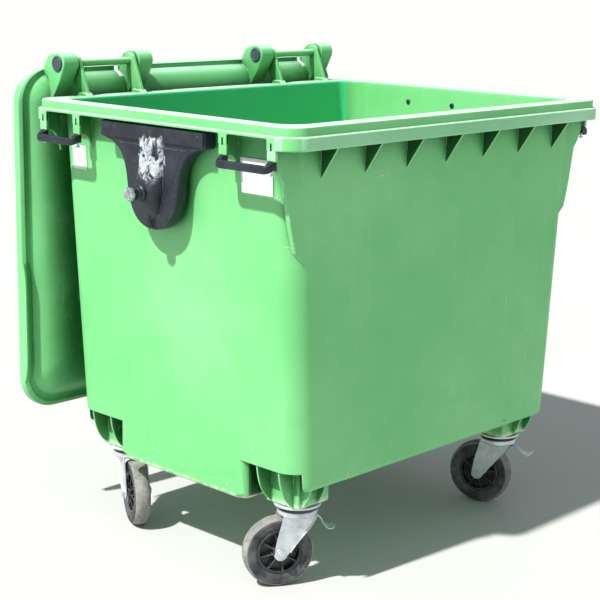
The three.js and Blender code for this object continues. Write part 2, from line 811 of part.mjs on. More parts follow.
function latheY(points, segments) {
  const profile = points.map(([r, y]) => new THREE.Vector2(r, y));
  const geometry = new THREE.LatheGeometry(profile, segments);
  return geometry.translate(TRAIL, 0, WHEEL_RADIUS);
}

function tyreSolid() {
  const half = TYRE_WIDTH / 2;
  const inner = TYRE_INNER_RADIUS;
  return solid(
    latheY(
      [
        [inner, -half + 4],
        [WHEEL_RADIUS - 14, -half],
        [WHEEL_RADIUS - 4, -half + 8],
        [WHEEL_RADIUS, -7],
        [WHEEL_RADIUS, 7],
        [WHEEL_RADIUS - 4, half - 8],
        [WHEEL_RADIUS - 14, half],
        [inner, half - 4],
        [inner, -half + 4],
      ],
      28,
    ),
  );
}

function hubSolid() {
  const rim = TYRE_INNER_RADIUS - GAP;
  const half = TYRE_WIDTH / 2 - 3;
  const bore = AXLE_RADIUS + GAP;
  return solid(
    latheY(
      [
        [bore, -29],
        [20, -29],
        [22, -6],
        [rim - 11, -6],
        [rim - 8, -half],
        [rim, -half],
        [rim, half],
        [rim - 8, half],
        [rim - 11, 6],
        [22, 6],
        [20, 29],
        [bore, 29],
        [bore, -29],
      ],
      28,
    ),
  );
}

function axleBolt() {
  const outside = FORK_INSIDE + FORK_SHEET + GAP;
  const head = [-outside - AXLE_HEX_THICK, -outside];
  return join([
    barY(AXLE_RADIUS, -outside - 1, outside + 9, TRAIL, WHEEL_RADIUS),
    barY(AXLE_HEX_RADIUS, ...head, TRAIL, WHEEL_RADIUS, 6),
  ]);
}

function axleNut() {
  const outside = FORK_INSIDE + FORK_SHEET + GAP;
  const nut = [outside, outside + AXLE_HEX_THICK - 0.5];
  const body = barY(AXLE_HEX_RADIUS, ...nut, TRAIL, WHEEL_RADIUS, 6);
  const bore = barY(AXLE_RADIUS + GAP, outside - 5, outside + 20, TRAIL, WHEEL_RADIUS);
  return cut(body, [bore]);
}

// ---- labels -----------------------------------------------------------------

// A thin plate that lies on the sloping end wall.
function endLabel(y0, y1, z0, z1) {
  const x0 = wallHalfX(z0) + LABEL_STANDOFF;
  const x1 = wallHalfX(z1) + LABEL_STANDOFF;
  const outline = polygon([[x0, z0], [x0 + LABEL_THICK, z0], [x1 + LABEL_THICK, z1], [x1, z1]]);
  return mirrorX(plateXZ(outline, y0, y1));
}

// ---- assembly -----------------------------------------------------------------

const material = (color, roughness, metalness) =>
  new THREE.MeshStandardMaterial({ color, roughness, metalness });
const GREEN = material(0x6fc97f, 0.5, 0);
const SLATE = material(0x2b333d, 0.55, 0);
const STEEL = material(0xb9c4c8, 0.4, 0.85);
const RUBBER = material(0x3a3d40, 0.85, 0);
const BLACK = material(0x1d2024, 0.6, 0);
const WHITE = material(0xe8ece8, 0.6, 0);

const container = new THREE.Group();
container.position.y = -CENTRE_Y;

function add(parent, name, body, finish) {
  const mesh = new THREE.Mesh(geometryOf(body), finish.clone());
  mesh.name = name;
  parent.add(mesh);
}

add(container, "tub", tubSolid(), GREEN);
add(container, "drain_plug", drainPlug(), BLACK);

// The lid turns from closed to hanging about the hinge line.
const lidFrame = new THREE.Group();
lidFrame.position.set(0, HINGE_Y, HINGE_Z);
lidFrame.rotation.x = LID_OPEN_TURN;
add(lidFrame, "lid", lidSolid().translate([0, -HINGE_Y, -HINGE_Z]), GREEN);
container.add(lidFrame);

for (const [name, group] of [["left", -HINGE_GROUP_X], ["right", HINGE_GROUP_X]]) {
  add(container, "hinge_pin_" + name + "_a", hingePin(group, -1), SLATE);
  add(container, "hinge_pin_" + name + "_b", hingePin(group, 1), SLATE);
}

for (const [end, side] of [["left", -1], ["right", 1]]) {
  add(container, "lift_bracket_" + end, bracketSolid(side), SLATE);
  add(container, "lift_spigot_" + end, spigotSolid(side), STEEL);
  for (const [place, y0, y1] of GRIPS) {
    add(container, "grip_" + end + "_" + place, gripSolid(side, y0, y1), SLATE);
    add(container, "grip_screw_" + end + "_" + place + "_a", gripScrew(side, y0), STEEL);
    add(container, "grip_screw_" + end + "_" + place + "_b", gripScrew(side, y1), STEEL);
  }
}

bracketBoltPlaces().forEach(([side, y], i) => {
  const end = side < 0 ? "left" : "right";
  add(container, "bracket_bolt_" + end + "_" + ((i % 3) + 1), bracketBolt(side, y), STEEL);
});

for (const [name, signX, signY, heading, pressed] of CASTERS) {
  const caster = new THREE.Group();
  caster.position.set(signX * CASTER_X, signY * CASTER_Y, 0);
  add(caster, "caster_plate_" + name, casterPlate(), STEEL);
  const turning = new THREE.Group();
  turning.rotation.z = radians(heading);
  add(turning, "fork_" + name, forkSolid(pressed !== null), STEEL);
  add(turning, "tyre_" + name, tyreSolid(), RUBBER);
  add(turning, "wheel_hub_" + name, hubSolid(), BLACK);
  add(turning, "axle_bolt_" + name, axleBolt(), STEEL);
  add(turning, "axle_nut_" + name, axleNut(), STEEL);
  if (pressed !== null) {
    const pedal = new THREE.Group();
    pedal.position.set(PEDAL_PIVOT_X, 0, PEDAL_PIVOT_Z);
    pedal.rotation.y = -radians(pressed);
    add(pedal, "brake_pedal_" + name, pedalSolid(), STEEL);
    turning.add(pedal);
  }
  caster.add(turning);
  container.add(caster);
}

for (const [name, ...place] of LABELS) add(container, name, endLabel(...place), WHITE);

const assembly = new THREE.Group();
assembly.add(container);
export default assembly;
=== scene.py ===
"""Looks of the four-wheeled refuse container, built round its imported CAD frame.

Shapes are written in millimetres in the rim's own frame (origin under the middle of the rim) and
turned into the frame's metres when a piece is placed.
"""

import math

import bmesh
import bpy
from mathutils import Matrix, Vector


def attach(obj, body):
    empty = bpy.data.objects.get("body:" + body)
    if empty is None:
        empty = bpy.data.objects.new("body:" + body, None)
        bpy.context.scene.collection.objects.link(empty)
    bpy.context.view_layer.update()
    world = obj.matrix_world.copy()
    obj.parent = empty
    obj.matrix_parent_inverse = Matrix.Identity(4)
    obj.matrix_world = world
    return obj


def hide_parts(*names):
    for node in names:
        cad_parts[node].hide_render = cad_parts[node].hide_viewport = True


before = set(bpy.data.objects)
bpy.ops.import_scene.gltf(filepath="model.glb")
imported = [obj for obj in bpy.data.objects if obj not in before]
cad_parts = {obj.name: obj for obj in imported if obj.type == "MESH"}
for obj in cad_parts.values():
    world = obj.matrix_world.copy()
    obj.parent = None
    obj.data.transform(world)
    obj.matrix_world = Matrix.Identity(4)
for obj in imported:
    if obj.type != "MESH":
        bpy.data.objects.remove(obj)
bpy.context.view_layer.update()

CENTRE_Y = 49.0                      # the rim's middle lies this far behind the frame's origin
TO_FRAME = Matrix.Scale(0.001, 4) @ Matrix.Translation((0, -CENTRE_Y, 0))

WALL_LOW_X, WALL_TOP_X = 578, 632
WALL_LOW_Y, WALL_TOP_Y = 458, 467
WALL_LOW_Z, WALL_TOP_Z = 314, 1230
WALL = 7
RECESS_X, RECESS_Y, RECESS_OUTER_Y, RECESS_TOP = 375, 268, 449, 358
HINGE_Y, HINGE_Z, HINGE_GROUPS = 535, 1384, (-407, 407)
EAR_OFFSET, ARM_OFFSET = 104, 143    # from the middle of a hinge group
EAR_EYE_RADIUS, ARM_EYE_RADIUS = 24, 31
PILLARS_Y = (-457, -283, 315, 467)
GUSSET_COUNT, GUSSET_PITCH = 7, 169.5
GUSSETS_X = [(i - GUSSET_COUNT // 2) * GUSSET_PITCH for i in range(GUSSET_COUNT)]
CASTER_X, CASTER_Y, TRAIL, WHEEL_Z = 460, 352, 54, 100
PEDAL_PIVOT = (-50, 0, 198)
SPOKES = 8
# x sign, y sign, heading of the trailing wheel, how far its pedal is pressed (degrees)
CASTERS = {
    "front_left": (-1, -1, 149, 25),
    "front_right": (1, -1, 108, 0),
    "rear_left": (-1, 1, -117, None),
    "rear_right": (1, 1, 62, None),
}
SPIGOT_Y, SPIGOT_Z = 4, 1076
BRACKET_BOLTS_Y, BRACKET_BOLT_Z = (-185, 0, 185), 1234
SUNK_HOLES = ((-19, 1176), (19, 1171))
# material slots after the main green: painted light on the band, painted bounce light inside, painted shade
# on rib sides and recess walls
BAND_LIT_FACE, INNER_BOUNCE_FACE, RIB_SHADE_FACE = 1, 2, 3    # material slots of the tub after its main one
TREAD_FACE = 1
SUN_HEADING, SUN_STRENGTH, SUN_ANGLE = (0.60, -0.035, -0.80), 6.3, 1.6
SKY_STRENGTH = 0.47
FLOOR_HALF = 150
CAMERA_AT, CAMERA_FORWARD, CAMERA_ROLL = (-3308.8, -3069.1, 1683.0), (0.70546, 0.67588, -0.21332), 0.88


def wall_x(z):
    return WALL_LOW_X + (WALL_TOP_X - WALL_LOW_X) * (z - WALL_LOW_Z) / (WALL_TOP_Z - WALL_LOW_Z)


def wall_y(z):
    return WALL_LOW_Y + (WALL_TOP_Y - WALL_LOW_Y) * (z - WALL_LOW_Z) / (WALL_TOP_Z - WALL_LOW_Z)


# ---- mesh building -------------------------------------------------------------

def bm_of(verts, faces):
    bm = bmesh.new()
    made = [bm.verts.new(v) for v in verts]
    for face in faces:
        bm.faces.new([made[i] for i in face])
    bmesh.ops.recalc_face_normals(bm, faces=bm.faces)
    return bm


def soften(bm, width, segments=2, angle=28):
    """Rounds every edge sharper than angle."""
    bm.normal_update()
    sharp = [e for e in bm.edges if e.is_manifold and e.calc_face_angle(0) > math.radians(angle)]
    if sharp and width > 0:
        bmesh.ops.bevel(bm, geom=sharp, offset=width, segments=segments, profile=0.5,
                        affect="EDGES", clamp_overlap=True)
    return bm


def moved(bm, matrix):
    bmesh.ops.transform(bm, matrix=matrix, verts=bm.verts)
    if matrix.determinant() < 0:
        bmesh.ops.reverse_faces(bm, faces=bm.faces)
    return bm


def joined(parts):
    whole = bmesh.new()
    for part in parts:
        mesh = bpy.data.meshes.new("scratch")
        part.to_mesh(mesh)
        whole.from_mesh(mesh)
        bpy.data.meshes.remove(mesh)
        part.free()
    return whole


def loft(rings):
    """A closed body through rings of equal length, capped at both ends."""
    n = len(rings[0])
    verts = [p for ring in rings for p in ring]
    faces = [(k * n + i, k * n + (i + 1) % n, (k + 1) * n + (i + 1) % n, (k + 1) * n + i)
             for k in range(len(rings) - 1) for i in range(n)]
    faces += [tuple(reversed(range(n))), tuple(range((len(rings) - 1) * n, len(rings) * n))]
    return bm_of(verts, faces)


def rounded(half_x, y0, y1, radius, z, segments=10):
    """A rounded rectangle at height z."""
    ring = []
    for sx, y, start in ((1, y1, 0), (-1, y1, 90), (-1, y0, 180), (1, y0, 270)):
        cx = sx * (half_x - radius)
        cy = y - radius if y == y1 else y + radius
        for i in range(segments + 1):
            a = math.radians(start + 90 * i / segments)
            ring.append((cx + radius * math.cos(a), cy + radius * math.sin(a), z))
    return ring


def extrude(outline, lo, hi, plane="YZ"):
    """An outline drawn in a plane, given thickness along the third axis."""
    place = {"YZ": lambda a, b, c: (c, a, b), "XZ": lambda a, b, c: (a, c, b),
             "XY": lambda a, b, c: (a, b, c)}[plane]
    n = len(outline)
    verts = [place(a, b, lo) for a, b in outline] + [place(a, b, hi) for a, b in outline]
    faces = [tuple(range(n)), tuple(range(n, 2 * n))]
    faces += [(i, (i + 1) % n, n + (i + 1) % n, n + i) for i in range(n)]
    return bm_of(verts, faces)


def block(x0, x1, y0, y1, z0, z1):
    x0, x1 = sorted((x0, x1))
    y0, y1 = sorted((y0, y1))
    return extrude([(x0, y0), (x1, y0), (x1, y1), (x0, y1)], z0, z1, "XY")


def lathe(profile, segments=48):
    """A closed profile of (radius, height) points turned about +Z. It may start and end on the axis."""
    on_axis = profile[0][0] < 1e-6
    rows = [[(r * math.cos(2 * math.pi * i / segments), r * math.sin(2 * math.pi * i / segments), h)
             for i in range(segments)] for r, h in profile if r > 1e-6]
    verts = [p for row in rows for p in row]
    faces = []
    count = len(rows)
    for k in range(count if not on_axis else count - 1):
        a, b = k * segments, (k + 1) % count * segments
        faces += [(a + i, a + (i + 1) % segments, b + (i + 1) % segments, b + i)
                  for i in range(segments)]
    if on_axis:
        faces += [tuple(range(segments)), tuple(range((count - 1) * segments, count * segments))]
    return bm_of(verts, faces)


def along(axis, at=(0, 0, 0)):
    """A matrix that turns +Z to an axis and moves the origin to a point."""
    turn = Vector((0, 0, 1)).rotation_difference(Vector(axis)).to_matrix().to_4x4()
    return Matrix.Translation(at) @ turn


def rod(radius, start, end, edge=1.2, segments=32):
    """A round bar with rounded ends."""
    a, b = Vector(start), Vector(end)
    length = (b - a).length
    profile = [(0, 0), (radius - edge, 0), (radius - 0.3 * edge, 0.3 * edge), (radius, edge),
               (radius, length - edge), (radius - 0.3 * edge, length - 0.3 * edge),
               (radius - edge, length), (0, length)]
    return moved(lathe(profile, segments), along(b - a, a))


def sweep(path, profile):
    """A profile of (side, up) points carried along a path."""
    points = [Vector(p) for p in path]
    rings = []
    for i, p in enumerate(points):
        before = points[max(i - 1, 0)]
        after = points[min(i + 1, len(points) - 1)]
        forward = (after - before).normalized()
        side = forward.cross(Vector((0, 0, 1))).normalized()
        top = side.cross(forward).normalized()
        inner = (p - before).normalized() if 0 < i else forward
        stretch = 1 / max(0.6, math.sqrt((1 + inner.dot((after - p).normalized())) / 2)) \
            if 0 < i < len(points) - 1 else 1
        rings.append([tuple(p + side * s * stretch + top * t) for s, t in profile])
    return loft(rings)


def bent(path, radius, steps=4):
    """The path with its corners rounded."""
    points = [Vector(p) for p in path]
    out = [points[0]]
    for a, p, b in zip(points, points[1:], points[2:]):
        r1 = min(radius, (a - p).length * 0.49)
        r2 = min(radius, (b - p).length * 0.49)
        p0, p1 = p + (a - p).normalized() * r1, p + (b - p).normalized() * r2
        for i in range(steps + 1):
            t = i / steps
            out.append(p0 * (1 - t) ** 2 + p * 2 * t * (1 - t) + p1 * t * t)
    return out + [points[-1]]


def bezier(p0, p1, p2, p3, steps=8):
    """Points of a cubic curve in a plane, its start left out."""
    out = []
    for i in range(1, steps + 1):
        t = i / steps
        w = ((1 - t) ** 3, 3 * t * (1 - t) ** 2, 3 * t * t * (1 - t), t ** 3)
        out.append(tuple(sum(k * p[j] for k, p in zip(w, (p0, p1, p2, p3))) for j in (0, 1)))
    return out


def arc(cx, cy, radius, start, end, steps=12):
    return [(cx + radius * math.cos(math.radians(start + (end - start) * i / steps)),
             cy + radius * math.sin(math.radians(start + (end - start) * i / steps)))
            for i in range(steps + 1)]


def cut(bm, *tools):
    """bm with closed bodies taken out of it."""
    target = bpy.data.objects.new("scratch", bpy.data.meshes.new("scratch"))
    bm.to_mesh(target.data)
    bm.free()
    bpy.context.scene.collection.objects.link(target)
    cutters = []
    for tool in tools:
        cutter = bpy.data.objects.new("cutter", bpy.data.meshes.new("cutter"))
        tool.to_mesh(cutter.data)
        tool.free()
        bpy.context.scene.collection.objects.link(cutter)
        modifier = target.modifiers.new("cut", "BOOLEAN")
        modifier.operation, modifier.solver, modifier.object = "DIFFERENCE", "EXACT", cutter
        cutters.append(cutter)
    evaluated = target.evaluated_get(bpy.context.evaluated_depsgraph_get())
    result = bmesh.new()
    result.from_mesh(evaluated.to_mesh())
    evaluated.to_mesh_clear()
    for scratch in [target, *cutters]:
        mesh = scratch.data
        bpy.data.objects.remove(scratch)
        bpy.data.meshes.remove(mesh)
    return result


def place(name, parts, body, material, slot=None, stands_for=(), matrix=None, sharp=38):
    """Makes one object of the parts, in the frame's metres, riding on a CAD body."""
    bm = joined(parts)
    moved(bm, TO_FRAME @ matrix if matrix else TO_FRAME)
    mesh = bpy.data.meshes.new(name)
    bm.to_mesh(mesh)
    bm.free()
    mesh.polygons.foreach_set("use_smooth", [True] * len(mesh.polygons))
    mesh.set_sharp_from_angle(angle=math.radians(sharp))
    obj = bpy.data.objects.new(name, mesh)
    bpy.context.scene.collection.objects.link(obj)
    obj.modifiers.new("even_shading", "WEIGHTED_NORMAL").keep_sharp = True
    mesh.materials.append(material)
    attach(obj, body)
    if stands_for:
        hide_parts(*stands_for)
    return obj


# ---- materials -----------------------------------------------------------------

class Nodes:
    """A material's node tree with short calls."""

    def __init__(self, name):
        self.material = bpy.data.materials.new(name)
        self.material.use_nodes = True
        self.tree = self.material.node_tree
        self.shader = self.tree.nodes["Principled BSDF"]
        self.where = self.add("ShaderNodeTexCoord").outputs["Object"]

    def add(self, kind, **settings):
        node = self.tree.nodes.new(kind)
        for key, value in settings.items():
            setattr(node, key, value)
        return node

    def link(self, source, target):
        self.tree.links.new(source, target)

    def set(self, socket, value):
        if isinstance(value, bpy.types.NodeSocket):
            self.link(value, socket)
        else:
            socket.default_value = value

    def noise(self, scale, detail=4, rough=0.55, stretch=(1, 1, 1), offset=(0, 0, 0), distort=0):
        mapping = self.add("ShaderNodeMapping")
        self.link(self.where, mapping.inputs["Vector"])
        mapping.inputs["Scale"].default_value = stretch
        mapping.inputs["Location"].default_value = offset
        node = self.add("ShaderNodeTexNoise")
        self.link(mapping.outputs["Vector"], node.inputs["Vector"])
        node.inputs["Scale"].default_value = scale
        node.inputs["Detail"].default_value = detail
        node.inputs["Roughness"].default_value = rough
        node.inputs["Distortion"].default_value = distort
        return node.outputs["Fac"]

    def remap(self, value, low, high, to_low=0.0, to_high=1.0):
        node = self.add("ShaderNodeMapRange", clamp=True, interpolation_type="SMOOTHSTEP")
        for key, v in zip(("Value", "From Min", "From Max", "To Min", "To Max"),
                          (value, low, high, to_low, to_high)):
            self.set(node.inputs[key], v)
        return node.outputs["Result"]

    def math(self, operation, a, b=0.0):
        node = self.add("ShaderNodeMath", operation=operation)
        self.set(node.inputs[0], a)
        self.set(node.inputs[1], b)
        return node.outputs[0]

    def mix(self, factor, a, b):
        node = self.add("ShaderNodeMix", data_type="RGBA")
        self.set(node.inputs["Factor"], factor)
        for socket, value in ((node.inputs["A"], a), (node.inputs["B"], b)):
            self.set(socket, (*value, 1) if isinstance(value, tuple) else value)
        return node.outputs["Result"]

    def axis(self, name):
        node = self.add("ShaderNodeSeparateXYZ")
        self.link(self.where, node.inputs[0])
        return node.outputs[name]

    def bump(self, height, strength, distance, normal=None):
        node = self.add("ShaderNodeBump")
        self.set(node.inputs["Height"], height)
        node.inputs["Strength"].default_value = strength
        node.inputs["Distance"].default_value = distance
        if normal is not None:
            self.link(normal, node.inputs["Normal"])
        return node.outputs["Normal"]

    def edge(self, radius):
        """(rounded normal, 0 to 1 mask of how near a sharp edge is)."""
        bevel = self.add("ShaderNodeBevel", samples=4)
        bevel.inputs["Radius"].default_value = radius
        flat = self.add("ShaderNodeNewGeometry").outputs["Normal"]
        dot = self.add("ShaderNodeVectorMath", operation="DOT_PRODUCT")
        self.link(bevel.outputs[0], dot.inputs[0])
        self.link(flat, dot.inputs[1])
        return bevel.outputs[0], self.remap(dot.outputs["Value"], 0.995, 0.86)

    def occlusion_shade(self, distance):
        """Ambient-occlusion mask for painted shade: 0 in the open, 1 deep in a corner."""
        node = self.add("ShaderNodeAmbientOcclusion", samples=4)
        node.inputs["Distance"].default_value = distance
        return self.remap(node.outputs["AO"], 0.88, 0.30)

    # mask of upward faces, which are painted paler: part sun bleaching, part painted highlight
    def facing_up(self):
        turned = self.add("ShaderNodeSeparateXYZ")
        self.link(self.add("ShaderNodeTexCoord").outputs["Normal"], turned.inputs[0])
        return self.remap(turned.outputs["Z"], 0.45, 0.9)

    def finish(self, color, roughness, normal=None, metallic=0.0, specular=0.5):
        self.set(self.shader.inputs["Base Color"], color)
        self.set(self.shader.inputs["Roughness"], roughness)
        self.shader.inputs["Metallic"].default_value = metallic
        self.shader.inputs["Specular IOR Level"].default_value = specular
        if normal is not None:
            self.link(normal, self.shader.inputs["Normal"])
        return self.material


def green_plastic(name, base, faded, deep, scuffs=1.0, seed=0.0, sun_bleach_and_highlight=(0.56, 0.80, 0.62),
                  shade_reach=0.16):
    """Moulded polyethylene: sun fading, rain streaks, pale scratches, worn edges; upward faces paler (part
    sun bleaching, part painted highlight) and painted shade in corners.
    """
    n = Nodes(name)
    shift = (seed, seed * 0.7, -seed)
    broad = n.noise(1.7, 3, 0.5, offset=shift)
    patches = n.noise(7.5, 5, 0.6, offset=shift)
    streaks = n.noise(26, 4, 0.6, stretch=(1, 1, 0.06), offset=shift)
    color = n.mix(n.remap(broad, 0.35, 0.68), base, faded)
    color = n.mix(n.remap(patches, 0.42, 0.72, 0, 0.35), color, deep)
    color = n.mix(n.remap(streaks, 0.50, 0.78, 0, 0.22), color, faded)
    # upward faces paler: part sun bleaching, part painted highlight where the sun falls on top
    color = n.mix(n.math("MULTIPLY", n.facing_up(), n.remap(patches, 0.2, 0.6, 0.65, 0.95)), color, sun_bleach_and_highlight)
    # painted shade: corners, gaps and faces close to other parts darkened by an ambient-occlusion mask
    painted_corner_shade = tuple(c * k for c, k in zip(base, (0.07, 0.27, 0.12)))
    color = n.mix(n.math("MULTIPLY", n.occlusion_shade(shade_reach), n.remap(patches, 0.2, 0.6, 0.75, 1)), color, painted_corner_shade)
    rounded_normal, edge = n.edge(0.0035)
    chips = n.noise(42, 6, 0.7, offset=shift)
    worn = n.math("MULTIPLY", edge, n.remap(chips, 0.44, 0.62, 0, 0.55 * scuffs))
    scratch = n.noise(60, 5, 0.75, stretch=(0.9, 0.9, 0.09), offset=shift, distort=0.6)
    fine = n.remap(scratch, 0.665, 0.70, 0, 0.38 * scuffs)
    cross = n.noise(52, 5, 0.75, stretch=(0.14, 0.14, 1.6), offset=shift, distort=0.8)
    fine = n.math("MAXIMUM", fine, n.remap(cross, 0.68, 0.72, 0, 0.42 * scuffs))
    scuff = n.math("MAXIMUM", worn, fine)
    height = n.axis("Z")
    low = n.remap(height, 0.42, 0.27)
    flecks = n.noise(48, 8, 0.78, offset=shift, distort=0.4)
    scuff = n.math("MAXIMUM", scuff, n.math("MULTIPLY", low, n.remap(flecks, 0.56, 0.70, 0, 0.45 * scuffs)))
    lowest = n.math("MULTIPLY", n.remap(height, 0.262, 0.246), n.remap(flecks, 0.40, 0.56, 0, 0.8))
    scuff = n.math("MAXIMUM", scuff, lowest)
    color = n.mix(scuff, color, (0.66, 0.80, 0.64))
    roughness = n.remap(n.noise(14, 5, 0.6, offset=shift), 0.3, 0.7, 0.40, 0.56)
    roughness = n.math("ADD", roughness, n.math("MULTIPLY", scuff, 0.25))
    grain = n.noise(700, 2, 0.5)
    normal = n.bump(grain, 0.10, 0.0004, rounded_normal)
    normal = n.bump(n.noise(5.5, 3, 0.5, offset=shift), 0.20, 0.006, normal)
    normal = n.bump(scuff, 0.15, 0.0004, normal)
    return n.finish(color, roughness, normal, specular=0.42)


def scratched_plastic(name, base, pale, seed=0.0, patch=False):
    """Dark moulded plastic, greyed by handling. patch adds the rubbed-through area above the spigot."""
    n = Nodes(name)
    shift = (seed, -seed, seed * 0.4)
    color = n.mix(n.remap(n.noise(9, 5, 0.6, offset=shift), 0.35, 0.7), base,
                  tuple(c * 1.7 + 0.006 for c in base))
    rounded_normal, edge = n.edge(0.003)
    rub = n.math("MULTIPLY", edge, n.remap(n.noise(55, 6, 0.7, offset=shift), 0.38, 0.62, 0, 0.5))
    scratch = n.noise(70, 6, 0.75, stretch=(1, 1, 0.2), offset=shift, distort=1.1)
    rub = n.math("MAXIMUM", rub, n.remap(scratch, 0.63, 0.69, 0, 0.45))
    slant = n.noise(46, 6, 0.8, stretch=(1, 0.25, 0.9), offset=shift, distort=1.6)
    rub = n.math("MAXIMUM", rub, n.remap(slant, 0.63, 0.68, 0, 0.4))
    color = n.mix(rub, color, pale)
    if patch:
        y, z = n.axis("Y"), n.axis("Z")
        across = n.math("ABSOLUTE", n.math("SUBTRACT", y, (SPIGOT_Y - CENTRE_Y) * 0.001))
        wobble = n.math("MULTIPLY", n.math("SUBTRACT", n.noise(38, 5, 0.7), 0.5), 0.075)
        side = n.remap(n.math("ADD", across, wobble), 0.052, 0.040)
        up = n.remap(n.math("ADD", z, wobble), 1.228, 1.214)
        down = n.remap(n.math("ADD", z, n.math("MULTIPLY", wobble, 1.5)), 1.108, 1.135)
        flakes = n.remap(n.noise(34, 6, 0.7, distort=0.8), 0.41, 0.50)
        worn = n.math("MULTIPLY", n.math("MULTIPLY", side, up), n.math("MULTIPLY", down, flakes))
        bared = n.mix(n.remap(n.noise(90, 5, 0.7), 0.35, 0.65), (0.26, 0.31, 0.36), (0.50, 0.55, 0.60))
        color = n.mix(worn, color, bared)
    roughness = n.remap(n.noise(24, 5, 0.6, offset=shift), 0.3, 0.7, 0.34, 0.52)
    normal = n.bump(n.noise(520, 3, 0.55), 0.16, 0.0005, rounded_normal)
    normal = n.bump(rub, 0.2, 0.0005, normal)
    return n.finish(color, roughness, normal, specular=0.33)


def zinc(name, base=(0.66, 0.71, 0.73), dull=(0.48, 0.53, 0.56), metal=0.72, seed=0.0):
    """Zinc-plated steel: faint spangle, handling marks and dirt in patches."""
    n = Nodes(name)
    shift = (seed, seed, seed)
    color = n.mix(n.remap(n.noise(30, 5, 0.6, offset=shift), 0.35, 0.7), base, dull)
    color = n.mix(n.remap(n.noise(240, 3, 0.6, offset=shift), 0.45, 0.75, 0, 0.35), color,
                  tuple(min(1, c * 1.25) for c in base))
    dirt = n.noise(75, 6, 0.75, offset=shift, distort=0.5)
    color = n.mix(n.remap(dirt, 0.62, 0.74, 0, 0.55), color, (0.16, 0.15, 0.13))
    rounded_normal, _ = n.edge(0.0012)
    roughness = n.remap(n.noise(90, 5, 0.65, offset=shift), 0.3, 0.7, 0.30, 0.50)
    normal = n.bump(n.noise(420, 3, 0.6, offset=shift), 0.10, 0.0004, rounded_normal)
    return n.finish(color, roughness, normal, metallic=metal, specular=0.5)


def rubber(name, seed=0.0):
    """Solid tyre rubber, greyed with dust, with nicks."""
    n = Nodes(name)
    shift = (seed, -seed, seed)
    dark, dust = (0.030, 0.033, 0.037), (0.15, 0.16, 0.17)
    color = n.mix(n.remap(n.noise(18, 6, 0.65, offset=shift), 0.36, 0.70, 0, 0.75), dark, dust)
    specks = n.noise(170, 5, 0.7, offset=shift)
    color = n.mix(n.remap(specks, 0.62, 0.72, 0, 0.4), color, (0.26, 0.26, 0.25))
    rounded_normal, edge = n.edge(0.002)
    roughness = n.remap(n.noise(60, 4, 0.6, offset=shift), 0.3, 0.7, 0.62, 0.88)
    normal = n.bump(specks, 0.35, 0.0008, rounded_normal)
    return n.finish(color, roughness, normal, specular=0.35)


def tread(name, seed=0.0):
    """The running surface, worn pale grey."""
    n = Nodes(name)
    shift = (seed, seed, -seed)
    color = n.mix(n.remap(n.noise(26, 6, 0.7, offset=shift), 0.32, 0.68), (0.15, 0.15, 0.145),
                  (0.31, 0.305, 0.29))
    color = n.mix(n.remap(n.noise(120, 5, 0.75, offset=shift), 0.55, 0.70, 0, 0.7), color,
                  (0.11, 0.11, 0.11))
    normal = n.bump(n.noise(260, 4, 0.7, offset=shift), 0.4, 0.0008)
    return n.finish(color, n.remap(n.noise(50, 3, 0.5), 0.3, 0.7, 0.7, 0.92), normal, specular=0.3)


def black_nylon(name, seed=0.0):
    """Glossy black moulded nylon with grey edges."""
    n = Nodes(name)
    shift = (seed, seed, seed)
    color = n.mix(n.remap(n.noise(40, 5, 0.6, offset=shift), 0.4, 0.7), (0.010, 0.011, 0.014),
                  (0.028, 0.030, 0.036))
    rounded_normal, edge = n.edge(0.0018)
    dusty = n.math("MULTIPLY", edge, n.remap(n.noise(130, 5, 0.7, offset=shift), 0.3, 0.6, 0.1, 0.8))
    color = n.mix(dusty, color, (0.36, 0.38, 0.40))
    roughness = n.remap(n.noise(55, 4, 0.6, offset=shift), 0.3, 0.7, 0.22, 0.42)
    normal = n.bump(n.noise(300, 3, 0.6), 0.12, 0.0004, rounded_normal)
    return n.finish(color, roughness, normal, specular=0.5)


def bare_steel(name):
    """A round end rubbed bright: fine turning rings, dark burrs and dirt."""
    n = Nodes(name)
    color = n.mix(n.remap(n.noise(60, 6, 0.7, distort=0.8), 0.38, 0.62), (0.74, 0.77, 0.80),
                  (0.20, 0.21, 0.24))
    color = n.mix(n.remap(n.noise(190, 5, 0.7), 0.56, 0.70), color, (0.07, 0.065, 0.07))
    normal = n.bump(n.noise(140, 6, 0.75, distort=0.5), 0.5, 0.0012)
    return n.finish(color, n.remap(n.noise(90, 4, 0.6), 0.3, 0.7, 0.22, 0.5), normal, metallic=0.85)


def paper(name, tint, seed=0.0):
    """A weathered blank sticker: creases, dirt in patches, faded tint."""
    n = Nodes(name)
    shift = (seed, seed, seed)
    color = n.mix(n.remap(n.noise(12, 5, 0.6, offset=shift), 0.4, 0.68, 0, 0.6), (0.70, 0.72, 0.70), tint)
    color = n.mix(n.remap(n.noise(70, 6, 0.75, offset=shift), 0.64, 0.72, 0, 0.5), color,
                  (0.45, 0.50, 0.44))
    normal = n.bump(n.noise(45, 4, 0.6, offset=shift), 0.35, 0.0015)
    return n.finish(color, n.remap(n.noise(30, 3, 0.5), 0.3, 0.7, 0.4, 0.62), normal, specular=0.4)


def painted_shade_fill(name):
    """Painted shade for the inside of small slots and holes: near-black over dark green."""
    n = Nodes(name)
    color = n.mix(n.noise(90, 5, 0.7), (0.004, 0.012, 0.006), (0.02, 0.035, 0.02))
    normal = n.bump(n.noise(300, 3, 0.6), 0.3, 0.0005)
    return n.finish(color, n.remap(n.noise(50, 3, 0.5), 0.3, 0.7, 0.7, 0.9), normal, specular=0.2)


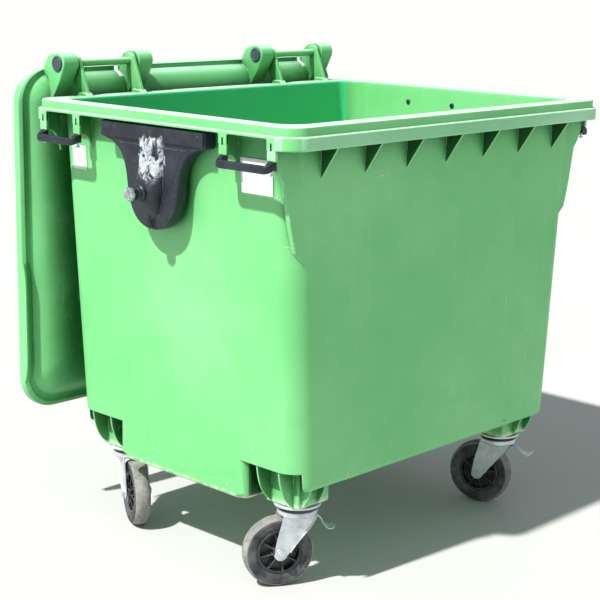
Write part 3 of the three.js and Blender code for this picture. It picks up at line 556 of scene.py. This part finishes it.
GREEN = green_plastic("tub_green", (0.150, 0.54, 0.190), (0.205, 0.60, 0.245), (0.115, 0.49, 0.160))
# paler copy of the green for the front and rear band: painted light where the band looks lit, with heavier
# scuffs
BAND_LIT_GREEN = green_plastic("band_painted_light_green", (0.24, 0.60, 0.31), (0.36, 0.70, 0.43), (0.17, 0.54, 0.24), 1.9, 4.0)
# deeper, more saturated copy of the green for the inside: painted bounce light of the green interior
INNER_BOUNCE_GREEN = green_plastic("inner_painted_bounce_green", (0.040, 0.60, 0.235), (0.060, 0.64, 0.26),
                            (0.028, 0.56, 0.21), 0.5, 6.0, (0.30, 0.68, 0.40), 0.05)
# near-black copy of the green: painted shade on the rib sides under the band and on the caster recess walls
RIB_SHADE_GREEN = green_plastic("rib_painted_shade_green", (0.024, 0.150, 0.040), (0.035, 0.19, 0.055),
                            (0.012, 0.10, 0.022), 0.4, 2.0)
# the lid's long shade reach (0.40) paints shade over its face hanging close to the tub
LID_GREEN = green_plastic("lid_green", (0.150, 0.54, 0.200), (0.20, 0.60, 0.25),
                          (0.115, 0.50, 0.170), 0.7, 9.0, (0.40, 0.70, 0.52), 0.40)
SLATE = scratched_plastic("slate", (0.013, 0.018, 0.026), (0.20, 0.25, 0.31))
BRACKET = scratched_plastic("bracket_slate", (0.012, 0.017, 0.024), (0.20, 0.25, 0.32), 3.0, patch=True)
PIN = scratched_plastic("pin_slate", (0.035, 0.045, 0.07), (0.20, 0.24, 0.30), 6.0)
ZINC = zinc("zinc")
FLANGE = zinc("zinc_flange", (0.74, 0.78, 0.78), (0.56, 0.60, 0.60), 0.55, 5.0)
RUBBER = rubber("tyre_rubber")
TREAD = tread("tyre_tread")
NYLON = black_nylon("hub_nylon")
STEEL = bare_steel("worn_steel")
SHADE_FILL = painted_shade_fill("painted_hole_shade")
LABEL = paper("label_blank", (0.60, 0.68, 0.62))
LABEL_PALE = paper("label_pale", (0.36, 0.56, 0.38), 3.0)


# ---- tub ------------------------------------------------------------------------

def plan(z, x, y, r):
    return rounded(x, -y, y, r, z, 12)


def tub_outer():
    rows = [(240, 561, 246, 30), (241.2, 566, 251, 33), (245, 570.5, 257, 36), (252, 573, 263, 38),
            (262, 574, 299, 42), (291, 576, 424, 58), (299, 576.4, 443, 62), (305, 577, 452, 65),
            (311, 577.6, 456.3, 67)]
    rows += [(z, wall_x(z), wall_y(z), 68) for z in (320, 480, 640, 800, 960, 1120, 1238)]
    rows += [(1249, 634.5, 468.5, 68), (1255.5, 638, 471.5, 69), (1258.6, 643, 477, 70),
             (1259, 650, 486, 68), (1259, 672, 516, 58), (1258.2, 676.5, 521, 57),
             (1255, 679, 524, 56), (1235, 679, 524, 56), (1232, 679.6, 524.6, 56.5),
             (1230.3, 681.5, 526.5, 58), (1230.3, 683, 528, 60), (1232, 684.6, 529.6, 61.5),
             (1235, 685, 530, 62), (1261, 685, 530, 62), (1263.8, 684.2, 529.2, 61.4),
             (1265, 682, 527, 60), (1265.3, 678.6, 523.6, 57.6), (1266.4, 676.7, 521.7, 56.9),
             (1269, 676, 521, 56.6), (1284.5, 676, 521, 56.6), (1288.2, 674.8, 519.8, 56),
             (1289.7, 671.8, 516.8, 54), (1290, 667, 512, 52), (1290, 640, 485, 40)]
    return loft([plan(*row) for row in rows])


def tub_hollow():
    rows = [(247, 553, 236, 28), (248.4, 560, 243, 31), (252, 564, 249, 34), (260, 566, 256, 36),
            (269, 567, 290, 40), (298, 569, 417, 52), (306, 569.6, 436, 56), (314, 570.4, 447, 59)]
    rows += [(z, wall_x(z) - WALL, wall_y(z) - WALL, 61) for z in (324, 600, 900)]
    rows += [(1100, 616, 458.6, 61), (1268, 615, 460, 61), (1282, 615, 460, 61),
             (1286.5, 616.1, 461.1, 61.5), (1289.2, 619, 464, 63), (1290.1, 624, 469, 66),
             (1296, 630, 475, 68)]
    return loft([plan(*row) for row in rows])


def recess(sx, sy, grow):
    """The space round one caster, grow wider on each side."""
    outline = [(RECESS_X - grow, RECESS_Y - grow), *arc(551, 236, 32 - grow, 90, 0, 8), (662, 236),
               (662, RECESS_OUTER_Y + grow), (RECESS_X - grow, RECESS_OUTER_Y + grow)]
    return extrude([(sx * x, sy * y) for x, y in outline], 190, RECESS_TOP + grow, "XY")


def end_windows():
    made = []
    for y0, y1 in zip(PILLARS_Y, PILLARS_Y[1:]):
        for side in (-1, 1):
            made.append(soften(block(side * 645, side * 720, y0 + 15, y1 - 15, 1190, 1258.6), 5, 3))
    return made


def front_crease():
    verts = []
    for z in (322, 1228):
        y = -wall_y(z)
        verts += [(322, y - 2, z), (362, y - 2, z), (347, y + 1.5, z), (339, y + 1.5, z)]
    return bm_of(verts, [(0, 1, 2, 3), (4, 5, 6, 7), (0, 1, 5, 4), (1, 2, 6, 5), (2, 3, 7, 6), (3, 0, 4, 7)])


def tub_shell():
    corners = [(sx, sy) for sx in (-1, 1) for sy in (-1, 1)]
    hollow = cut(tub_hollow(), *[recess(sx, sy, WALL) for sx, sy in corners])
    return cut(tub_outer(), hollow, *[recess(sx, sy, 0) for sx, sy in corners], *end_windows(),
               front_crease())


def recess_webs(sx, sy):
    """The caster's housing and the curved webs round it."""
    ceiling, outer_x, outer_y = 361, wall_x(RECESS_TOP) - 3, 451
    end_web = [(CASTER_X, ceiling), (outer_x, ceiling),
               *bezier((outer_x, ceiling), (outer_x - 3, 310), (outer_x - 22, 262), (514, 240.4), 12),
               (CASTER_X, 240.4)]
    front_web = [(CASTER_Y, 344), (outer_y, 344),
                 *bezier((outer_y, 344), (outer_y - 2, 300), (outer_y - 16, 258), (408, 240.4), 12),
                 (CASTER_Y, 240.4)]
    parts = [soften(block(398, 522, 290, 414, 240.2, 361), 7, 3)]
    for y in (-42, 40):
        parts.append(soften(extrude(end_web, CASTER_Y + y - 3, CASTER_Y + y + 3, "XZ"), 1.2))
    for x in (-12, 44):
        parts.append(soften(extrude(front_web, CASTER_X + x - 3, CASTER_X + x + 3, "YZ"), 1.2))
    return [moved(p, Matrix.Diagonal((sx, sy, 1, 1))) for p in parts]


def pillar(side, y):
    strip = soften(block(673, 684.7, y - 15, y + 15, 1203, 1262), 2.5, 3)
    web = [(626, 1282), (673.5, 1282), (673.5, 1205),
           *bezier((673.5, 1205), (650, 1204), (636, 1190), (624, 1140), 10)]
    return [moved(p, Matrix.Diagonal((side, 1, 1, 1)))
            for p in (strip, soften(extrude(web, y - 4, y + 4, "XZ"), 1.2))]


def corner_shoulder(sx, sy):
    """The curved stiffener under one end of the front band."""
    outline = [(560, 1262), (677, 1262), (677, 1222),
               *bezier((677, 1222), (672, 1186), (656, 1160), (636, 1140), 10),
               *bezier((636, 1140), (629, 1110), (622, 1040), (596, 960), 8), (560, 930)]
    part = soften(extrude(outline, 446, 462, "XZ"), 3, 3)
    return moved(part, Matrix.Diagonal((sx, sy, 1, 1)))


def ear(x):
    outline = [(470, 1286), (519, 1286), *arc(HINGE_Y, HINGE_Z, EAR_EYE_RADIUS, -10, 148, 18)]
    return soften(extrude(outline, x - 6, x + 6, "YZ"), 2.2, 3)


def hinge_feet():
    parts = []
    for group in HINGE_GROUPS:
        parts += [ear(group - EAR_OFFSET), ear(group + EAR_OFFSET)]
        parts.append(rod(11, (group - 101, HINGE_Y, HINGE_Z), (group + 101, HINGE_Y, HINGE_Z)))
        for side in (-1, 1):
            foot = [(462, 1286), (517, 1286), (513, 1300), (476, 1300)]
            x = group + side * EAR_OFFSET
            parts.append(soften(extrude(foot, x - 13, x + 13, "YZ"), 3, 3))
    return parts


def gusset(x):
    outline = [(-462, 1140), (-462, 1262), (-525, 1262), (-525, 1233)]
    return soften(extrude(outline, x - 3.5, x + 3.5, "YZ"), 1.4, 3)


def make_tub():
    parts = [tub_shell(), *hinge_feet()]
    for sx in (-1, 1):
        for y in PILLARS_Y:
            parts += pillar(sx, y)
        for sy in (-1, 1):
            parts += recess_webs(sx, sy)
        parts.append(corner_shoulder(sx, -1))
    parts += [gusset(x) for x in GUSSETS_X]
    tub = place("tub_body", parts, "tub", GREEN, "body_green", ["tub"])
    tub.data.materials.append(BAND_LIT_GREEN)
    tub.data.materials.append(INNER_BOUNCE_GREEN)
    tub.data.materials.append(RIB_SHADE_GREEN)
    for face in tub.data.polygons:
        x, y, z = face.center.x * 1000, face.center.y * 1000 + CENTRE_Y, face.center.z * 1000
        outside = abs(x) > 678.5 or abs(y) > 523.5
        within = abs(x) < wall_x(z) - 4 and abs(y) < wall_y(z) - 4 and z > 372
        inside = within and x * face.normal.x + y * face.normal.y < 0
        # the front and rear band faces take the paler green: painted light
        if 1229.5 < z < 1265.7 and outside and abs(y) > 400:
            face.material_index = BAND_LIT_FACE
        # inside faces that don't face the ends take the deeper green: painted bounce light
        elif inside and abs(face.normal.x) < 0.6:
            face.material_index = INNER_BOUNCE_FACE
        # rib sides under the band and the recess walls take the near-black green: painted shade
        rib_side = y < -462 and 1140 < z < 1262 and abs(face.normal.x) > 0.95 and abs(x) < 520
        in_recess = z < 360 and abs(x) > 372 and abs(y) > 264
        recess_wall = min(abs(abs(x) - RECESS_X), abs(abs(y) - RECESS_Y), abs(z - RECESS_TOP)) < 3
        if rib_side or (in_recess and recess_wall):
            face.material_index = RIB_SHADE_FACE
    # thin near-black sheets on the pillars: painted shade where the slots are
    slots = [soften(block(side * 684.6, side * 685.3, y - 3, y + 3, 1230, 1249), 2.4, 3, 60)
             for side in (-1, 1) for y in PILLARS_Y]
    place("pillar_slot_shades", slots, "tub", SHADE_FILL, "black_plastic")


# ---- lid --------------------------------------------------------------------------

LID_OPEN = (Matrix.Translation((0, HINGE_Y, HINGE_Z)) @ Matrix.Rotation(math.pi / 2, 4, "X")
            @ Matrix.Translation((0, -HINGE_Y, -HINGE_Z)))


def lid_shell():
    def lip(z, inset, inside=0):
        return rounded(673 - inset, -523 + inset, 519 - inset * 0.25 - inside, 108 - inset * 0.8, z, 16)

    def dish(z, inset):
        return rounded(637 - inset, -487 + inset, 503 - inset * 0.5, max(40, 84 - inset * 0.5), z, 16)

    outer = [dish(1359.4, 150), dish(1358.6, 116), dish(1356.4, 88), dish(1352.8, 64), dish(1347.6, 44),
             dish(1341.4, 29), dish(1334.4, 17.5), dish(1327.5, 8.5), dish(1322, 3.2), dish(1319.2, 0.6),
             dish(1318, -2.5),
             lip(1317.8, 31), lip(1317.6, 20), lip(1319.2, 16.5), lip(1319.6, 14), lip(1319.2, 11.5),
             lip(1317.4, 9), lip(1316.2, 4), lip(1313.8, 1.2), lip(1309, 0.2), lip(1296, 0),
             lip(1292.6, 0.6), lip(1291.2, 2)]
    inner = [lip(1291.4, 3.4, 2), lip(1294, 4.2, 3), lip(1308, 4.4, 3.2), lip(1312, 6.5, 5),
             lip(1313.2, 11, 6), dish(1313.4, -3), dish(1314.6, 1.5), dish(1318, 5.5),
             dish(1324, 11), dish(1331, 20), dish(1337.4, 32), dish(1343.2, 47),
             dish(1348.2, 67), dish(1351.8, 91), dish(1353.9, 118), dish(1354.7, 152)]
    slots = []
    for group in HINGE_GROUPS:
        for side in (-1, 1):
            x = group + side * EAR_OFFSET
            slots.append(block(x - 8.5, x + 8.5, 486, 560, 1270, 1360))
    return cut(loft(outer + inner), *slots)


def lid_arm(x):
    outline = [(415, 1345), (480, 1340), (494, 1334), (502, 1316), (518, 1315.6), (541, 1326), (555, 1338),
               (562, 1356), (564.8, 1370), *arc(HINGE_Y, HINGE_Z, ARM_EYE_RADIUS, -18, 128, 18),
               *bezier((516, 1408.4), (486, 1396), (452, 1374), (415, 1345), 8)[:-1]]
    return soften(extrude(outline, x - 28, x + 28, "YZ"), 3, 3)


def side_rail(side):
    """The raised grip rail along the lower part of the lid's side."""
    y_from, y_to, steps = -428, -60, 16
    rings = []
    for i in range(steps + 1):
        t = i / steps
        lift = (math.sin(math.pi * min(1, t * 5 + 0.06) / 2)
                * math.sin(math.pi * min(1, (1 - t) * 5 + 0.06) / 2))
        y = y_from + (y_to - y_from) * t
        h, w = 1317 + 13 * lift, 13 * lift
        rings.append([(side * x, y, z) for x, z in (
            (671.5, 1312), (672.3, 1316), (670.5, h - 1), (667, h), (663 - w * 0.2, h - 0.6),
            (660 - w, 1320 + 3 * lift), (648 - w, 1317.6), (646 - w, 1312))])
    return soften(loft(rings), 0)


def underside_rib(x0, y0, x1, y1):
    return soften(block(x0, x1, y0, y1, 1343, 1355.5), 1.5)


def make_lid():
    parts = [lid_shell(), side_rail(-1), side_rail(1)]
    parts += [lid_arm(group + side * ARM_OFFSET) for group in HINGE_GROUPS for side in (-1, 1)]
    parts += [underside_rib(x - 2, -330, x + 2, 400) for x in (-407, -136, 136, 407)]
    parts += [underside_rib(-480, y - 2, 480, y + 2) for y in (-250, 10, 270)]
    place("lid_shell", parts, "lid", LID_GREEN, "lid_green", ["lid"], LID_OPEN)


def make_pins():
    for group, name in zip(HINGE_GROUPS, ("left", "right")):
        for side, letter in ((-1, "a"), (1, "b")):
            face = group + side * 171.5
            profile = [(0, 0), (21.4, 0), (22.3, 0.6), (22.3, 2.6), (20.6, 4.4), (17.5, 5.0),
                       (16.5, 4.0), (13.5, 3.6), (12.5, 4.4), (5, 5.0), (0, 5.0)]
            head = moved(lathe(profile), along((side, 0, 0), (face, HINGE_Y, HINGE_Z)))
            shank = rod(9.6, (group + side * 82, HINGE_Y, HINGE_Z), (face + side, HINGE_Y, HINGE_Z))
            place(f"pin_{name}_{letter}", [head, shank], "tub", PIN, "slate_plastic",
                  [f"hinge_pin_{name}_{letter}"])


# ---- brackets, spigots and grips ----------------------------------------------------

def bracket_outline(shrink=0.0):
    half, s = 210 - shrink, shrink
    left = [(-half, 1256 - s), (-half, 1208 + s),
            *bezier((-half, 1208 + s), (-134 + s, 1198 + s), (-112 + s, 1160), (-104 + s, 1090), 12),
            *bezier((-104 + s, 1090), (-96 + s, 1010), (-58, 972 + s), (0, 972 + s), 12)]
    return left + [(-y, z) for y, z in reversed(left[:-1])]


def saddle():
    """The broad rounded rib that runs down from the bar and swells into the spigot's boss."""
    rows = [(1226, 40, 1), (1219, 43, 7), (1205, 45, 10), (1170, 46, 12), (1140, 47, 16),
            (1118, 48, 24), (1100, 48, 33), (1088, 48, 39), (1076, 47, 42), (1062, 45, 40),
            (1048, 42, 33), (1034, 38, 23), (1020, 33, 12), (1008, 27, 4), (1001, 20, 0.5)]
    rings = []
    for z, half, rise in rows:
        ring = [(half * math.cos(math.radians(a)), 675 + rise * math.sin(math.radians(a)) ** 0.8, z)
                for a in range(0, 181, 12)]
        rings.append([(x, y, zz) for y, x, zz in ring] + [(665, -half, z), (665, half, z)])
    return loft(rings)


def bracket_parts():
    plate = soften(extrude(bracket_outline(), 636, 674, "YZ"), 5, 4)
    bar = soften(block(640, 680, -208, 208, 1211, 1253), 4, 3)
    lower = [(y, z) for y, z in bracket_outline(13) if z < 1200]
    face = soften(extrude(lower, 660, 676.5, "YZ"), 2.5, 3)
    notch = [soften(moved(block(668, 681, -3, 3, 978, 1014),
                          Matrix.Translation((0, 0, 996)) @ Matrix.Rotation(math.radians(a), 4, "X")
                          @ Matrix.Translation((0, 0, -996))), 1.5) for a in (-22, 22)]
    bolt_holes = [moved(lathe([(0, 0), (6.5, 0), (6.5, 30), (0, 30)], 20), along((1, 0, 0), (668, y, z)))
                  for y, z in SUNK_HOLES]
    return [plate, bar, face, cut(saddle(), *bolt_holes), *notch]


def make_brackets():
    for end, side in (("left", -1), ("right", 1)):
        mirror = Matrix.Diagonal((side, 1, 1, 1)) @ Matrix.Translation((0, SPIGOT_Y, 0))
        place(f"bracket_{end}", [moved(p, mirror) for p in bracket_parts()], "tub", BRACKET,
              "slate_plastic", [f"lift_bracket_{end}"])
        # near-black discs in the saddle's sunk holes: painted shade
        hole_shade_discs = [moved(rod(6.2, (676, y, z), (680, y, z)), mirror) for y, z in SUNK_HOLES]
        place(f"bracket_hole_shades_{end}", hole_shade_discs, "tub", SHADE_FILL, "black_plastic")
        collar = [(0, 0), (24, 0), (24.6, 4), (24, 9), (20.5, 11), (19, 14), (18.9, 19), (0, 19)]
        stub = [(0, 0), (18.7, 0), (19, 2), (18.8, 8), (17.4, 10), (12.6, 10), (11.4, 8), (0, 7)]
        root = moved(lathe(collar), along((1, 0, 0), (712, 0, SPIGOT_Z)))
        shank = moved(lathe([(0, 0), (18.3, 0), (18.3, 43), (0, 43)]), along((1, 0, 0), (706, 0, SPIGOT_Z)))
        place(f"spigot_root_{end}", [moved(p, mirror) for p in (root, shank)], "tub", BRACKET,
              "slate_plastic")
        tip = moved(lathe(stub), along((1, 0, 0), (747, 0, SPIGOT_Z)))
        place(f"spigot_{end}", [moved(tip, mirror)], "tub", STEEL, "bright_steel", [f"lift_spigot_{end}"])
        for i, y in enumerate(BRACKET_BOLTS_Y):
            head = rod(8.5, (676, y, BRACKET_BOLT_Z), (680.5, y, BRACKET_BOLT_Z), 1.0)
            inner = rod(8, (612, y, BRACKET_BOLT_Z), (616, y, BRACKET_BOLT_Z), 1.2)
            place(f"bolt_{end}_{i + 1}", [moved(head, mirror), moved(inner, mirror)], "tub", SLATE,
                  "slate_plastic", [f"bracket_bolt_{end}_{i + 1}"])


def grip(y0, y1):
    section = [(-9, -8), (-6, -11), (6, -11), (9, -8), (9, 4), (6, 9), (-6, 9), (-9, 4)]
    path = bent([(678, y0, 1199), (684, y0, 1194), (699, y0, 1184), (699, y1, 1184),
                 (684, y1, 1194), (678, y1, 1199)], 9, 5)
    feet = [soften(block(671.5, 686, y - 9, y + 9, 1180, 1202.6), 2.5, 3) for y in (y0, y1)]
    return [soften(sweep(path, section), 1.2, 2, 40), *feet]


def make_grips():
    for end, side in (("left", -1), ("right", 1)):
        for where, y0, y1 in (("front", *PILLARS_Y[:2]), ("rear", *PILLARS_Y[2:])):
            parts = [moved(p, Matrix.Diagonal((side, 1, 1, 1))) for p in grip(y0, y1)]
            place(f"handle_{end}_{where}", parts, "tub", SLATE, "slate_plastic", [f"grip_{end}_{where}"])


# ---- casters --------------------------------------------------------------------------

def flange():
    return lathe([(0, 239.6), (63, 239.6), (66, 238.6), (67, 236), (66.4, 233.4), (63.5, 232.6),
                  (60, 233.2), (0, 233.2)], 64)


def race():
    return lathe([(0, 233), (55, 233), (58, 231), (58.5, 227), (56, 222.6), (0, 222.6)], 64)


def fork_head():
    return lathe([(0, 222), (50, 222), (55.5, 220.8), (57, 217.5), (56.5, 208), (53.5, 204.8),
                  (48, 204), (0, 204)], 64)


def leg_outline():
    front = bezier((-47, 212), (-40, 178), (4, 142), (36.5, 93), 12)
    back = bezier((72, 96), (70, 135), (56, 172), (47, 212), 12)
    return [(-47, 212), *front, *arc(TRAIL, WHEEL_Z, 19, 205, 345, 12), *back]


def fork_parts():
    parts = [fork_head()]
    for side in (-1, 1):
        y = side * 35.2
        parts.append(soften(extrude(leg_outline(), y - 1.9, y + 1.9, "XZ"), 1.1))
        lip = [(x, y + side * 2.5, z) for x, z in [(-46.5, 209), *bezier((-46.5, 209), (-39.5, 178),
                                                                       (4.5, 143), (28, 104), 12)]]
        parts.append(soften(sweep(lip, [(-3.6, -1.2), (3.6, -1.2), (3.6, 1.2), (-3.6, 1.2)]), 0.8))
        washer = lathe([(0, 0), (15, 0), (15.6, 0.8), (15, 2.2), (0, 2.2)])
        parts.append(moved(washer, along((0, side, 0), (TRAIL, side * 36, WHEEL_Z))))
        rivet = lathe([(0, 0), (4.2, 0), (4, 1.6), (2.4, 2.6), (0, 2.6)], 20)
        parts.append(moved(rivet, along((0, side, 0), (-16, side * 36.8, 196))))
    return parts


def tyre():
    half = [(63, 18.5), (66, 20.6), (72, 22), (79, 23), (80.5, 22.2), (82, 23.2), (88, 24), (92, 22.8),
            (96, 19), (98.8, 13), (99.8, 6)]
    profile = [(r, -y) for r, y in half] + [(100, 0)] + half[::-1]
    return moved(lathe(profile, 72), along((0, 1, 0), (TRAIL, 0, WHEEL_Z)))


def hub():
    rim = lathe([(53, -5), (55, -19), (56.5, -20.6), (61, -20.8), (62.7, -19.4), (62.7, 19.4),
                 (61, 20.8), (56.5, 20.6), (55, 19), (53, 5)], 72)
    boss = lathe([(7.4, -29), (18.5, -29), (20, -27.5), (21.5, -5), (21.5, 5), (20, 27.5),
                  (18.5, 29), (7.4, 29)], 48)
    disc = lathe([(20, -3.2), (54.5, -3.2), (54.5, 3.2), (20, 3.2)], 72)
    parts = [rim, boss, disc]
    for i in range(SPOKES):
        blade = bm_of([(19, -1.9, -23), (55, -1.6, -18), (55, 1.6, -18), (19, 1.9, -23),
                       (19, -1.9, 23), (55, -1.6, 18), (55, 1.6, 18), (19, 1.9, 23)],
                      [(0, 1, 2, 3), (4, 5, 6, 7), (0, 1, 5, 4), (1, 2, 6, 5), (2, 3, 7, 6), (3, 0, 4, 7)])
        parts.append(moved(soften(blade, 0.7), Matrix.Rotation(math.radians(360 // SPOKES * i + 12), 4, "Z")))
    return [moved(p, along((0, 1, 0), (TRAIL, 0, WHEEL_Z))) for p in parts]


def pedal():
    rows = [(8, -1.8, 9), (-13, -1.8, 9), (-22, -5.5, 10), (-30, -13.5, 13), (-38, -19, 18),
            (-47, -21.5, 21.5), (-56, -19.5, 21.5), (-62, -15.5, 19), (-66, -10.5, 13)]
    rings = []
    for i, (x, z, half) in enumerate(rows):
        a, b = rows[max(0, i - 1)], rows[min(len(rows) - 1, i + 1)]
        d = Vector((b[0] - a[0], 0, b[1] - a[1])).normalized()
        nx, nz = -d.z * 1.5, d.x * 1.5
        rings.append([(x + nx, -half, z + nz), (x + nx, half, z + nz),
                      (x - nx, half, z - nz), (x - nx, -half, z - nz)])
    return soften(loft(rings), 0.9, 2, 40)


def make_casters():
    for name, (sx, sy, heading, pressed) in CASTERS.items():
        fixed = Matrix.Translation((sx * CASTER_X, sy * CASTER_Y, 0))
        turned = fixed @ Matrix.Rotation(math.radians(heading), 4, "Z")
        place(f"flange_{name}", [flange()], "tub", FLANGE, "zinc_steel", [f"caster_plate_{name}"], fixed)
        place(f"race_{name}", [race()], "tub", NYLON, "black_plastic", (), fixed)
        place(f"fork_shell_{name}", fork_parts(), f"fork_{name}", ZINC, "zinc_steel",
              [f"fork_{name}"], turned)
        rolling = place(f"rolling_{name}", [tyre()], f"wheel_{name}", RUBBER, "tyre_rubber",
                        [f"tyre_{name}"], turned)
        rolling.data.materials.append(TREAD)
        centre = TO_FRAME @ turned @ Vector((TRAIL, 0, WHEEL_Z))
        for face in rolling.data.polygons:
            out = face.center - centre
            if out.length > 0.0958 and face.normal.dot(out.normalized()) > 0.75:
                face.material_index = TREAD_FACE
        place(f"hub_{name}", hub(), f"wheel_{name}", NYLON, "black_plastic", [f"wheel_hub_{name}"], turned)
        if pressed is not None:
            swung = (turned @ Matrix.Translation(PEDAL_PIVOT)
                     @ Matrix.Rotation(-math.radians(pressed), 4, "Y"))
            place(f"pedal_{name}", [pedal()], f"brake_pedal_{name}", ZINC, "zinc_steel",
                  [f"brake_pedal_{name}"], swung)


# ---- CAD nodes that stay, stage, light and camera -----------------------------------------

def finish_cad_nodes():
    finishes = {"axle": ZINC, "grip_screw": ZINC, "drain_plug": NYLON, "label_front": LABEL,
                "label_rear": LABEL_PALE}
    for name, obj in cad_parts.items():
        for start, material in finishes.items():
            if name.startswith(start):
                obj.data.materials.clear()
                obj.data.materials.append(material)


def make_stage():
    n = Nodes("floor_pale")
    color = n.mix(n.noise(0.8, 4, 0.5), (0.49, 0.495, 0.50), (0.53, 0.535, 0.54))
    n.finish(color, n.remap(n.noise(3, 3, 0.5), 0.3, 0.7, 0.72, 0.85), specular=0.2)
    mesh = bpy.data.meshes.new("floor")
    corners = [(x * FLOOR_HALF, y * FLOOR_HALF, 0) for x, y in ((-1, -1), (1, -1), (1, 1), (-1, 1))]
    mesh.from_pydata(corners, [], [(0, 1, 2, 3)])
    mesh.materials.append(n.material)
    floor = bpy.data.objects.new("floor", mesh)
    bpy.context.scene.collection.objects.link(floor)


def make_light():
    world = bpy.data.worlds.new("studio")
    world.use_nodes = True
    back = world.node_tree.nodes["Background"]
    back.inputs["Color"].default_value = (0.92, 0.97, 1.0, 1)
    back.inputs["Strength"].default_value = SKY_STRENGTH
    bpy.context.scene.world = world
    sun = bpy.data.lights.new("key", "SUN")
    sun.energy, sun.angle = SUN_STRENGTH, math.radians(SUN_ANGLE)
    sun.color = (1.0, 0.98, 0.92)
    key = bpy.data.objects.new("key", sun)
    key.rotation_mode = "QUATERNION"
    key.rotation_quaternion = Vector(SUN_HEADING).to_track_quat("-Z", "Y")
    bpy.context.scene.collection.objects.link(key)


def make_camera():
    data = bpy.data.cameras.new("camera")
    data.sensor_width, data.lens = 36, 90.64
    data.shift_x, data.shift_y = 0.0043, -0.012
    data.clip_start, data.clip_end = 0.1, 500
    camera = bpy.data.objects.new("camera", data)
    forward = Vector(CAMERA_FORWARD).normalized()
    level = Vector((forward.y, -forward.x, 0)).normalized()
    rise = level.cross(forward)
    roll = math.radians(CAMERA_ROLL)
    right = level * math.cos(roll) + rise * math.sin(roll)
    up = right.cross(forward)
    turn = Matrix((right, up, -forward)).transposed().to_4x4()
    camera.matrix_world = Matrix.Translation(TO_FRAME @ Vector(CAMERA_AT)) @ turn
    bpy.context.scene.collection.objects.link(camera)
    bpy.context.scene.camera = camera


make_tub()
make_lid()
make_pins()
make_brackets()
make_grips()
make_casters()
finish_cad_nodes()
make_stage()
make_light()
make_camera()
bpy.context.scene.view_settings.view_transform = "Standard"
